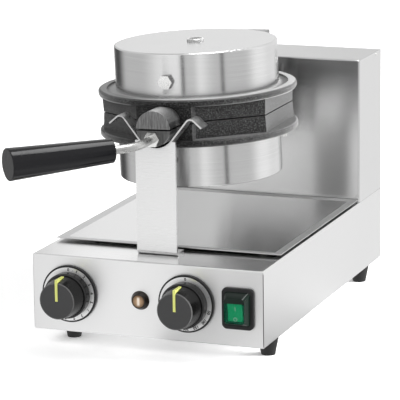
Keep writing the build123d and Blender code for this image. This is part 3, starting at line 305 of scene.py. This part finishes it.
def turned_end(name, axis, flank_painted_shade):
    """Axis 1 is for a bolt that points to the front, axis 2 for a nut that lies flat."""
    finish, tree, shader = start_finish(name, end_colour, 0.25, 0.6)
    along = maths(tree, "ABSOLUTE", own_facing(tree, axis))
    on_end = spread(tree, along, 0.0, 1.0, 0.55, 0.9)
    # Painted shade: the flanks take the darker tone.
    put(tree, shader.inputs["Base Color"], mixed(tree, on_end, grey(flank_painted_shade), end_colour))
    put(tree, shader.inputs["Roughness"], spread(tree, noise(tree, 300.0), 0.2, 0.32))
    return finish


bolt_steel = turned_end("bolt_steel", 1, 0.13)
nut_steel = turned_end("nut_steel", 2, 0.50)
print("turned ends:", bolt_steel.name, nut_steel.name)


# %% [markdown]
# ## Coated cast plates
# The castings are bead blasted and covered with a dark non-stick coat that holds fine pale specks.
# The coat is nearly black from the front and turns pale at a low angle, which is what sheen does.
# The front end of the boss was machined after coating, so it shows upright tool marks in paler metal;
# on its lower half they are painted darker, as painted shade. The faces that meet, with their cells,
# have a smooth black coat of their own without sheen, which in the joint is partly painted shade, so
# that the joint between the plates reads as a black line. In the corner behind the boss and on the
# flanges' inner faces the coat is given less sheen, as painted shade. The outer rim gets a glossier
# coat with less sheen, which is painted light that evens out its brightness.

# %% Cast plates
boss_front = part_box("upper_plate")[0][1]
cut_depth = 0.0003
joint_height = 0.2292
coat_tone = 0.004
speck_tone = 0.085
groove_tone = 0.08
ridge_tone = 0.34
lower_half_painted_shade = 0.02


def machined_tone(tree):
    """Upright tool marks, with painted shade on the half below the joint."""
    tool_marks = noise(tree, 1.0, 3.0, 0.7, (1500, 1, 70))
    cut = mixed(tree, spread(tree, tool_marks, 0.0, 1.0), grey(groove_tone), grey(ridge_tone))
    is_lower = maths(tree, "LESS_THAN", own_place(tree)[2], joint_height)
    # Painted shade: the half below the joint is mixed halfway to a near-black grey.
    return mixed(tree, times(tree, is_lower, 0.5), cut, grey(lower_half_painted_shade))


def coated_casting(name, sheen, gloss):
    finish, tree, shader = start_finish(name, grey(0.03), 0.42, Sheen_Weight=sheen,
                                        Sheen_Roughness=0.4, Specular_IOR_Level=gloss)
    grain = noise(tree, 1400.0, 2.0)
    on_speck = spread(tree, noise(tree, 1000.0, 2.0, 0.6), 0.0, 1.0, 0.48, 0.66)
    coat = mixed(tree, on_speck, grey(coat_tone), grey(speck_tone))
    is_cut = maths(tree, "LESS_THAN", own_place(tree)[1], boss_front + cut_depth)
    put(tree, shader.inputs["Base Color"], mixed(tree, is_cut, coat, machined_tone(tree)))
    put(tree, shader.inputs["Roughness"], spread(tree, grain, 0.36, 0.5))
    put(tree, shader.inputs["Metallic"], times(tree, is_cut, 0.5))
    emboss(tree, shader, grain, 0.12, 0.0003)
    return finish


def smooth_coat():
    finish, tree, shader = start_finish("smooth_coat", grey(0.010), 0.4, Specular_IOR_Level=0.3)
    put(tree, shader.inputs["Roughness"], spread(tree, noise(tree, 200.0), 0.36, 0.46))
    return finish


blasted_coat = coated_casting("coated_casting", 1.0, 0.25)
# Painted shade: a copy of the coat with little sheen, for the corner behind the boss and the flanges' inner
# faces.
corner_painted_shade_coat = coated_casting("corner_painted_shade_coat", 0.15, 0.25)
# Painted light: a glossier copy with less sheen, which evens out the brightness of the outer rim.
rim_painted_light_coat = coated_casting("rim_painted_light_coat", 0.5, 0.65)
# The smooth coat of the faces that meet; in the joint it is partly painted shade.
baking_coat_and_joint_shade = smooth_coat()
print("casting finishes:", blasted_coat.name, corner_painted_shade_coat.name, rim_painted_light_coat.name, baking_coat_and_joint_shade.name)


# %% [markdown]
# ## Plastics, rubber and glass
# The knobs and the grip are black phenolic, moulded smooth. The dial discs and frames have a finer,
# duller grain. The rocker shines through a soft smoky boot, and the lamp has an amber lens.

# %% Plastics and rubber
def moulded(name, colour, roughness, grain_scale=300.0, grain_depth=0.04, **more):
    finish, tree, shader = start_finish(name, colour, roughness, **more)
    grain = noise(tree, grain_scale)
    put(tree, shader.inputs["Roughness"], spread(tree, grain, roughness - 0.04, roughness + 0.06))
    emboss(tree, shader, grain, grain_depth, 0.0002)
    return finish


black_phenolic = moulded("black_phenolic", (0.006, 0.006, 0.007), 0.14, grain_depth=0.01,
                         Specular_IOR_Level=0.3)
frame_black = moulded("frame_black", (0.012, 0.012, 0.013), 0.38, 500.0, 0.08, Specular_IOR_Level=0.35)
bezel_brown = moulded("bezel_brown", (0.020, 0.014, 0.010), 0.3, Specular_IOR_Level=0.35)
foot_rubber = moulded("foot_rubber", grey(0.015), 0.6, 200.0, 0.1)
pointer_green = moulded("pointer_green", (0.70, 0.73, 0.20), 0.45)
rocker_green = moulded("rocker_green", (0.015, 0.58, 0.24), 0.4, Specular_IOR_Level=0.2)
mineral_felt = moulded("mineral_felt", (0.75, 0.73, 0.66), 0.9, 400.0, 0.6)
mark_black = moulded("mark_black", grey(0.012), 0.6, Specular_IOR_Level=0.2)
mark_white = moulded("mark_white", (0.85, 0.90, 0.87), 0.5)
print("plastics and print:", black_phenolic.name, frame_black.name, bezel_brown.name, foot_rubber.name,
      pointer_green.name, rocker_green.name, mineral_felt.name, mark_black.name, mark_white.name)

# %% [markdown]
# A knob is glossy round its side and matt on its front end. The front end is given a lighter colour
# and the side a darker one, as painted light and shade, and the edge between them is a painted highlight.

# %% Knobs
side_painted_shade = 0.004
edge_painted_highlight = 0.12
end_painted_light = (0.055, 0.055, 0.056, 1)


def knob_finish():
    finish, tree, shader = start_finish("knob_black", grey(0.03), 0.3, Specular_IOR_Level=0.22)
    ahead = maths(tree, "ABSOLUTE", own_facing(tree, 1))
    on_end = maths(tree, "GREATER_THAN", ahead, 0.9)
    on_highlight_edge = maths(tree, "GREATER_THAN", ahead, 0.4)
    # Painted highlight on the edge, painted shade on the side.
    painted_round_side = mixed(tree, on_highlight_edge, grey(side_painted_shade), grey(edge_painted_highlight))
    # Painted light: the front end is lighter than the side.
    put(tree, shader.inputs["Base Color"], mixed(tree, on_end, painted_round_side, end_painted_light))
    grain = noise(tree, 400.0)
    put(tree, shader.inputs["Roughness"],
        plus(tree, spread(tree, grain, 0.2, 0.26), times(tree, on_end, 0.25)))
    emboss(tree, shader, grain, 0.04, 0.0002)
    return finish


knob_black = knob_finish()
print("knobs:", knob_black.name)

# %% [markdown]
# The printed rings of the dials are spun aluminium. Their scratches run round the knob, so the
# tangent points away from its middle, and the shine opens like a fan.

# %% Spun scale rings
def middle_of(low, high):
    """The middle of a box, as x, y and z, from its lowest and highest corners."""
    return [(near + far) / 2 for near, far in zip(low, high)]


def spun_ring(name, ring):
    low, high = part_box(ring)
    finish, tree, shader = start_finish(name, grey(0.86), 0.30, 1.0, Anisotropic=0.85)
    x, _, z = own_place(tree)
    middle_x, _, middle_z = middle_of(low, high)
    away = add_node(tree, "CombineXYZ", X=minus(tree, x, middle_x), Z=minus(tree, z, middle_z))
    outward = add_node(tree, "VectorMath", Vector=away.outputs[0])
    outward.operation = "NORMALIZE"
    put(tree, shader.inputs["Tangent"], outward.outputs[0])
    put(tree, shader.inputs["Roughness"], spread(tree, noise(tree, 500.0), 0.27, 0.34))
    return finish


timer_silver = spun_ring("timer_silver", "timer_scale")
thermostat_silver = spun_ring("thermostat_silver", "thermostat_scale")
print("spun rings:", timer_silver.name, thermostat_silver.name)

# %% [markdown]
# The pilot lamp is copper amber, with a bright upright line in the middle as the filament's painted
# glow. The cup behind the lens is painted darker towards its rim, as painted shade.

# %% Lamp lens
cup_middle = (0.52, 0.34, 0.20, 1)
cup_rim_painted_shade = (0.13, 0.075, 0.04, 1)
filament_painted_glow = (0.95, 0.83, 0.70, 1)


def lit_lens():
    low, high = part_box("lamp_lens")
    finish, tree, shader = start_finish("amber_lens", (0.30, 0.17, 0.10), 0.15, Specular_IOR_Level=0.3)
    x, _, z = own_place(tree)
    middle_x, _, middle_z = middle_of(low, high)
    aside = maths(tree, "ABSOLUTE", minus(tree, x, middle_x))
    above = maths(tree, "ABSOLUTE", minus(tree, z, middle_z))
    squares = plus(tree, maths(tree, "POWER", aside, 2.0), maths(tree, "POWER", above, 2.0))
    to_rim = spread(tree, maths(tree, "SQRT", squares), 0.0, 1.0, 0.002, 0.0065)
    # Painted shade: the cup darkens towards its rim.
    cup = mixed(tree, to_rim, cup_middle, cup_rim_painted_shade)
    near = spread(tree, aside, 1.0, 0.0, 0.0006, 0.0020)
    within = spread(tree, above, 1.0, 0.0, 0.0030, 0.0050)
    # Painted glow: the filament's bright line.
    put(tree, shader.inputs["Base Color"], mixed(tree, times(tree, near, within), cup, filament_painted_glow))
    return finish


amber_lens = lit_lens()
print("lamp lens:", amber_lens.name)

# %% [markdown]
# The rocker's boot is clear only in front, below its hood. Its moulded sides are smoky and nearly
# black. The clear part lets the rocker show through, with a little green haze and a soft gloss.

# %% Rocker boot
boot_low, boot_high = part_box("switch_boot")
middle_to_hood = 0.0078
window_top = middle_of(boot_low, boot_high)[2] + middle_to_hood
haze_share = 0.2


def mixed_shaders(tree, share, first, second):
    made = tree.nodes.new("ShaderNodeMixShader")
    for target, value in zip(made.inputs, (share, first, second)):
        put(tree, target, value)
    return made.outputs[0]


def rocker_boot():
    finish, tree, shader = start_finish("smoky_boot", (0.006, 0.014, 0.010), 0.2, Specular_IOR_Level=0.3)
    see_through = add_node(tree, "BsdfTransparent", Color=(0.90, 0.97, 0.94, 1)).outputs[0]
    haze = add_node(tree, "BsdfDiffuse", Color=(0.02, 0.22, 0.12, 1)).outputs[0]
    gloss = add_node(tree, "BsdfGlossy", Color=(1, 1, 1, 1), Roughness=0.12).outputs[0]
    hazy = mixed_shaders(tree, haze_share, see_through, haze)
    clear = mixed_shaders(tree, add_node(tree, "Fresnel", IOR=1.12).outputs[0], hazy, gloss)
    is_front = maths(tree, "GREATER_THAN", maths(tree, "ABSOLUTE", own_facing(tree, 1)), 0.9)
    below_hood = maths(tree, "LESS_THAN", own_place(tree)[2], window_top)
    whole = mixed_shaders(tree, times(tree, is_front, below_hood), shader.outputs[0], clear)
    put(tree, tree.nodes["Material Output"].inputs[0], whole)
    return finish


smoky_boot = rocker_boot()
print("rocker boot:", smoky_boot.name, "with a window up to", round(window_top, 4), "m")


# %% [markdown]
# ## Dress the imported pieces
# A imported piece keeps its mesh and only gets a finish. One table says which pieces have which finish,
# and whatever the table doesn't name is a screw, nut or pin in bright steel.

# %% Give each piece its finish
wearers = [
    (base_steel, ["base_shell"]),
    (tower_steel, ["tower_shell"]),
    (sheet_steel, ["floor_plate", "rear_panel", "front_post"]),
    (tray_steel, ["drip_tray"]),
    (drum_steel, ["upper_drum", "lower_drum"]),
    (spring_steel, ["cradle_strip"]),
    (rod_steel, ["handle_rod"]),
    (guard_steel_painted_shade, ["upper_cable_guard", "lower_cable_guard"]),
    (bolt_steel, ["upper_drum_bolt", "lower_drum_bolt"]),
    (nut_steel, ["upper_centre_nut", "lower_centre_nut"]),
    (blasted_coat, ["upper_plate", "lower_plate"]),
    (black_phenolic, ["handle_grip"]),
    (knob_black, ["timer_knob", "thermostat_knob"]),
    (frame_black, ["timer_dial", "thermostat_dial", "timer_body", "thermostat_body", "switch_housing",
                   "inlet_gland"]),
    (bezel_brown, ["lamp_bezel"]),
    (foot_rubber, ["rubber_feet"]),
    (pointer_green, ["timer_pointer", "thermostat_pointer"]),
    (timer_silver, ["timer_scale"]),
    (thermostat_silver, ["thermostat_scale"]),
    (amber_lens, ["lamp_lens"]),
    (smoky_boot, ["switch_boot"]),
    (rocker_green, ["switch_rocker"]),
    (bronze, ["bearing_bush"]),
    (zinc_plate, ["bearing_bracket", "upper_clamp_disc", "lower_clamp_disc"]),
    (element_sheath, ["upper_heating_element", "lower_heating_element"]),
    (mineral_felt, ["upper_insulation_felt", "lower_insulation_felt"]),
]
dressing = {name: finish for finish, names in wearers for name in names}
for name, piece in nodes.items():
    piece.data.materials.clear()
    piece.data.materials.append(dressing.get(name, bright_steel))
print("pieces with a finish:", len(nodes), "of which bright steel:", len(nodes) - len(dressing))

# %% [markdown]
# The two plates carry four coats each, and every face of a plate is given one of them by its place.
# Height is measured from the joint between the plates, square to the lean of the head.

# %% Coats on the faces of the plates
head_lean = radians(2.1)
head_up = Vector((-sin(head_lean), 0, cos(head_lean)))
head_right = Vector((cos(head_lean), 0, sin(head_lean)))
joint_middle = Vector((0, -0.045, joint_height))
cell_depth = 0.013
cell_field = 0.088
flange_height = 0.012
rim_from = 0.084
corner_end = boss_front + 0.044
corner_side = 0.036
plate_coats = [blasted_coat, baking_coat_and_joint_shade, corner_painted_shade_coat, rim_painted_light_coat]


def coat_of(face, towards_joint):
    """Towards_joint is 1 for the lower plate, whose inside faces up, and -1 for the upper one."""
    place = face.center - joint_middle
    height = abs(place.dot(head_up))
    facing = face.normal.dot(head_up) * towards_joint
    in_field = place.length < cell_field and facing > 0.05
    # The faces that meet get the smooth coat, partly as painted shade in the joint.
    if height < cell_depth and (in_field or facing > 0.9):
        return baking_coat_and_joint_shade
    # The outer rim gets the glossier copy, as painted light.
    if facing < -0.3 and place.length > rim_from:
        return rim_painted_light_coat
    # Corners and the flanges' inner faces get the copy with little sheen, as painted shade.
    in_shaded_corner = face.center.y < corner_end and abs(place.dot(head_right)) < corner_side
    if in_shaded_corner or (facing > 0.9 and height > flange_height):
        return corner_painted_shade_coat
    return blasted_coat


def coat_faces(name, towards_joint):
    plate = nodes[name].data
    for coat in plate_coats[1:]:
        plate.materials.append(coat)
    counts = [0] * len(plate_coats)
    for face in plate.polygons:
        face.material_index = plate_coats.index(coat_of(face, towards_joint))
        counts[face.material_index] += 1
    print(name, "faces with the blasted, baking, corner and rim coats:", counts)


coat_faces("lower_plate", 1)
coat_faces("upper_plate", -1)


# %% [markdown]
# ## Print on the dials and the rocker
# Each mark is a thin plate a hair above the surface that carries it. Blender's own font makes its
# outline, which is turned into a mesh, and the marks of one surface are joined into one piece.

# %% Marks as meshes
mark_lift = 0.00005
bolder = 0.00012
facing_front = Matrix.Rotation(pi / 2, 4, "X")


def mark_mesh(text, size, matrix):
    """A line of text as a flat mesh, set by a matrix that takes text space to the model's frame."""
    curve = bpy.data.curves.new("mark", "FONT")
    curve.body = text
    curve.size = size
    curve.align_x = "CENTER"
    curve.align_y = "CENTER"
    curve.extrude = mark_lift
    curve.offset = bolder
    holder = bpy.data.objects.new("mark", curve)
    made = bpy.data.meshes.new_from_object(holder)
    made.transform(matrix)
    bpy.data.objects.remove(holder)
    bpy.data.curves.remove(curve)
    return made


def add_object(name, data):
    made = bpy.data.objects.new(name, data)
    bpy.context.scene.collection.objects.link(made)
    return made


def joined_marks(name, meshes, finish, body):
    joined = bmesh.new()
    for mesh in meshes:
        joined.from_mesh(mesh)
        bpy.data.meshes.remove(mesh)
    whole = bpy.data.meshes.new(name)
    joined.to_mesh(whole)
    joined.free()
    whole.materials.clear()
    whole.materials.append(finish)
    piece = add_object(name, whole)
    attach(piece, body)
    return piece


# %% [markdown]
# The timer's ring counts up to 12 and the thermostat's ring names its heats, with 0 at the top of
# both. A number is moved out to the ring and then turned round the knob.

# %% Numbers on the dials
digit_size = 0.0042
digit_inset = 0.0023


def dial_marks(name, ring, labels, first, last):
    """Numbers round a dial, clockwise, from the first angle to the last, after the 0 at the top."""
    low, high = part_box(ring)
    middle_x, _, middle_z = middle_of(low, high)
    middle = Matrix.Translation((middle_x, low[1] - mark_lift, middle_z))
    out = Matrix.Translation((0, 0, (high[0] - low[0]) / 2 - digit_inset))
    step = (last - first) / (len(labels) - 1)
    places = [("0", 0.0)] + [(label, first + index * step) for index, label in enumerate(labels)]
    meshes = []
    for label, angle in places:
        turned = Matrix.Rotation(radians(angle), 4, "Y")
        meshes.append(mark_mesh(label, digit_size, middle @ turned @ out @ facing_front))
    return joined_marks(name, meshes, mark_black, "base")


timer_labels = [str(hour) for hour in range(1, 13)]
heat_labels = [str(heat) for heat in range(50, 301, 50)]
timer_marks = dial_marks("timer_marks", "timer_scale", timer_labels, 21, 252)
heat_marks = dial_marks("thermostat_marks", "thermostat_scale", heat_labels, 105, 230)
print("dial marks:", timer_marks.name, timer_labels, heat_marks.name, heat_labels)

# %% [markdown]
# The rocker has I on its upper half and O on its lower half. The halves lean differently, so each
# mark is placed by how far it lies below the rocker's top and by the lean of its half.

# %% I and O on the rocker
rocker_low, rocker_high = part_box("switch_rocker")
rocker_x = middle_of(rocker_low, rocker_high)[0]
rocker_front = rocker_low[1]
rocker_top = rocker_high[2]
upper_lean = radians(12.9)
lower_lean = radians(-1.1)
on_drop = 0.0068
middle_drop = 0.0097
off_drop = 0.0176
on_size = 0.0058
off_size = 0.0054


def rocker_mark(text, size, lean, y, drop):
    place = Matrix.Translation((rocker_x, y, rocker_top - drop))
    return mark_mesh(text, size, place @ Matrix.Rotation(lean, 4, "X") @ facing_front)


on_y = rocker_front + on_drop * tan(upper_lean) - mark_lift
off_y = rocker_front + middle_drop * tan(upper_lean) + (off_drop - middle_drop) * tan(lower_lean) - mark_lift
on_mark = rocker_mark("I", on_size, upper_lean, on_y, on_drop)
off_mark = rocker_mark("O", off_size, lower_lean, off_y, off_drop)
rocker_marks = joined_marks("rocker_marks", [on_mark, off_mark], mark_white, "rocker")
print("rocker marks:", rocker_marks.name)


# %% [markdown]
# ## A light tent around the machine
# Metal shows the room more than its own colour. A round cloth wall stands about the machine, lit from
# outside, and only mirrors see it. Where two lengths of cloth meet, or where no lamp stands behind
# it, the cloth is darker, and those places give the drums their upright bands. The cloth runs on over
# the floor, so one recipe gives its tone by the angle round the machine. High up it is lit evenly.

# %% Tone of the cloth
def stripe(tree, turn, middle, width, soft, level):
    """A darker stripe in the cloth, at an angle from the front towards the right, in degrees."""
    off = maths(tree, "ABSOLUTE", minus(tree, turn, radians(middle)))
    off = maths(tree, "MINIMUM", off, minus(tree, 2 * pi, off))
    share = add_node(tree, "MapRange", Value=off)
    share.interpolation_type = "SMOOTHSTEP"
    share.inputs["From Min"].default_value = radians(width / 2)
    share.inputs["From Max"].default_value = radians(width / 2 + soft)
    share.inputs["To Min"].default_value = level
    share.inputs["To Max"].default_value = 1.0
    return share.outputs[0]


front_seam = (3, 2, 2, 0.04)
front_fold = (10.5, 8, 11, 0.65)
right_seam = (51.5, 2, 2, 0.04)
right_shade = (63, 40, 24, 0.62)
left_shade = (-82, 54, 40, 0.58)
open_side = (-114, 13, 24, 0.12)
back_shade = (155, 40, 20, 0.88)
cloth_stripes = (front_seam, front_fold, right_seam, right_shade, left_shade, open_side, back_shade)
even_from = 0.31
even_to = 0.40
even_level = 0.72


def cloth_tone(tree, level):
    x, y, z = own_place(tree)
    turn = maths(tree, "ARCTAN2", x, times(tree, y, -1.0))
    for middle, width, soft, dark in cloth_stripes:
        level = times(tree, stripe(tree, turn, middle, width, soft, dark), level)
    return maths(tree, "MAXIMUM", level, spread(tree, z, 0.0, even_level, even_from, even_to))


print("darker lengths in the cloth:", len(cloth_stripes))


# %% [markdown]
# ## Floor
# The machine stands on a plain white floor. Seen directly the floor is lifted to white, and in a
# mirror it shows the cloth, but the light that it sends back to the machine stays that of a pale
# floor. The machine's shadow stays on it. Far from the machine the lamps get weaker, and a glow
# makes up for it.

# %% Floor
floor_size = 14.0
floor_tone = 0.78
lifted_tone = 1.35
cloth_glow = 0.94
cloth_colour = 0.04
floor_glow = 0.06
far_glow = 0.8
far_from = 1.3
far_to = 3.5


def looked_at(tree):
    """1 for a ray from the camera, also once it has passed through something clear."""
    seen = tree.nodes.new("ShaderNodeLightPath")
    return maths(tree, "MAXIMUM", seen.outputs["Is Camera Ray"], seen.outputs["Is Transmission Ray"])


def in_mirror(tree):
    return tree.nodes.new("ShaderNodeLightPath").outputs["Is Glossy Ray"]


def from_origin(tree):
    place = tree.nodes.new("ShaderNodeTexCoord").outputs["Object"]
    length = add_node(tree, "VectorMath", Vector=place)
    length.operation = "LENGTH"
    return length.outputs["Value"]


def pale_floor():
    finish, tree, shader = start_finish("pale_floor", grey(0.8), 0.9, Specular_IOR_Level=0.0)
    direct = looked_at(tree)
    mirrored = in_mirror(tree)
    tone = mixed(tree, mirrored, grey(floor_tone), grey(cloth_colour))
    put(tree, shader.inputs["Base Color"], mixed(tree, direct, tone, grey(lifted_tone)))
    by_distance = spread(tree, from_origin(tree), floor_glow, far_glow, far_from, far_to)
    glow = plus(tree, times(tree, mirrored, cloth_tone(tree, cloth_glow)), times(tree, direct, by_distance))
    put(tree, shader.inputs["Emission Strength"], glow)
    shader.inputs["Emission Color"].default_value = (1, 1, 1, 1)
    return finish


half = floor_size / 2
floor_corners = [(-half, -half, 0), (half, -half, 0), (half, half, 0), (-half, half, 0)]
floor_mesh = bpy.data.meshes.new("floor")
floor_mesh.from_pydata(floor_corners, [], [(0, 1, 2, 3)])
floor_mesh.materials.append(pale_floor())
floor = add_object("floor", floor_mesh)
print("floor:", floor_size, "m square")

# %% [markdown]
# The wall of the tent is a plain tube that glows with the tone of the cloth. It is hidden from the
# camera and from the soft light, so it only shows in mirrors.

# %% Tent wall
tent_radius = 0.62
tent_height = 1.0
tent_level = 0.98
tent_panels = 180


def tent_cloth():
    finish = bpy.data.materials.new("tent_cloth")
    finish.use_nodes = True
    tree = finish.node_tree
    tree.nodes.clear()
    glow = add_node(tree, "Emission", Strength=cloth_tone(tree, tent_level))
    add_node(tree, "OutputMaterial", Surface=glow.outputs[0])
    return finish


tent_shape = bmesh.new()
bmesh.ops.create_cone(tent_shape, cap_ends=False, segments=tent_panels, radius1=tent_radius,
                      radius2=tent_radius, depth=tent_height,
                      matrix=Matrix.Translation((0, 0, tent_height / 2)))
tent_mesh = bpy.data.meshes.new("tent_wall")
tent_shape.to_mesh(tent_mesh)
tent_shape.free()
tent_mesh.materials.append(tent_cloth())
tent = add_object("tent_wall", tent_mesh)
tent.visible_camera = False
tent.visible_diffuse = False
tent.visible_transmission = False
tent.visible_volume_scatter = False
tent.visible_shadow = False
print("tent wall:", len(tent_mesh.polygons), "panels")


# %% [markdown]
# ## The room above
# The room is white for what looks at it directly. In a mirror it gets darker with height, so that
# rounded bends read as grey lines, and it lights the machine as a soft grey dome.

# %% World
dome_level = 0.55
low_ceiling = 0.9
high_ceiling = 0.5


def studio_room():
    room = bpy.data.worlds.new("studio")
    room.use_nodes = True
    tree = room.node_tree
    tree.nodes.clear()
    direction = tree.nodes.new("ShaderNodeTexCoord").outputs["Generated"]
    height = add_node(tree, "SeparateXYZ", Vector=direction).outputs[2]
    ceiling = spread(tree, height, low_ceiling, high_ceiling, 0.3, 0.9)
    ceiling_colour = add_node(tree, "CombineXYZ", X=ceiling, Y=ceiling, Z=ceiling).outputs[0]
    lit = mixed(tree, in_mirror(tree), grey(dome_level), ceiling_colour)
    backdrop = add_node(tree, "Background", Color=mixed(tree, looked_at(tree), lit, grey(1)), Strength=1.0)
    add_node(tree, "OutputWorld", Surface=backdrop.outputs[0])
    return room


bpy.context.scene.world = studio_room()
print("room:", bpy.context.scene.world.name)


# %% [markdown]
# Two soft lamps do the rest: a large one from the right and behind, which brings out the coated
# castings, and a weaker one from the front left. In a real studio the tent would hide them from the
# mirrors, so here mirrors don't see them. A small panel hangs overhead, which only shows in mirrors,
# and draws the grip's highlight.

# %% Lamps
def softbox(name, place, aim, size, power, only_mirrored=False):
    lamp = bpy.data.lights.new(name, "AREA")
    lamp.shape = "RECTANGLE"
    lamp.size, lamp.size_y = size
    lamp.energy = power
    made = add_object(name, lamp)
    made.location = place
    made.rotation_euler = (Vector(aim) - Vector(place)).to_track_quat("-Z", "Y").to_euler()
    made.visible_glossy = only_mirrored
    made.visible_diffuse = not only_mirrored
    print(name, "at", place, "with", power, "W")


softbox("back_softbox", (2.4, 0.9, 0.62), (0, 0, 0.15), (1.8, 1.1), 195)
softbox("front_softbox", (-1.3, -2.2, 1.8), (0, 0, 0.1), (1.6, 1.4), 32)
softbox("grip_panel", (0.13, -0.10, 0.75), (0.13, -0.10, 0), (0.32, 0.32), 1.9, only_mirrored=True)


# %% [markdown]
# ## Camera
# The camera stands where the photograph was taken from: to the right of the machine, a little above
# it and far away, with a long lens. Its place was worked out from the corners of the base and tower.

# %% Camera
camera_place = (0.9503, -2.5198, 0.7335)
yaw = radians(21.0)
pitch = radians(12.86)
roll = radians(-0.77)
lens = bpy.data.cameras.new("long_lens")
lens.lens = 231.57
lens.sensor_width = 36.0
camera = add_object("camera", lens)
turned = Matrix.Rotation(yaw, 4, "Z") @ Matrix.Rotation(pi / 2 - pitch, 4, "X")
camera.matrix_world = Matrix.Translation(camera_place) @ (turned @ Matrix.Rotation(roll, 4, "Z"))
bpy.context.scene.camera = camera
bpy.context.scene.view_settings.view_transform = "Standard"
print("camera:", lens.lens, "mm lens,", round(Vector(camera_place).length, 2), "m from the machine")
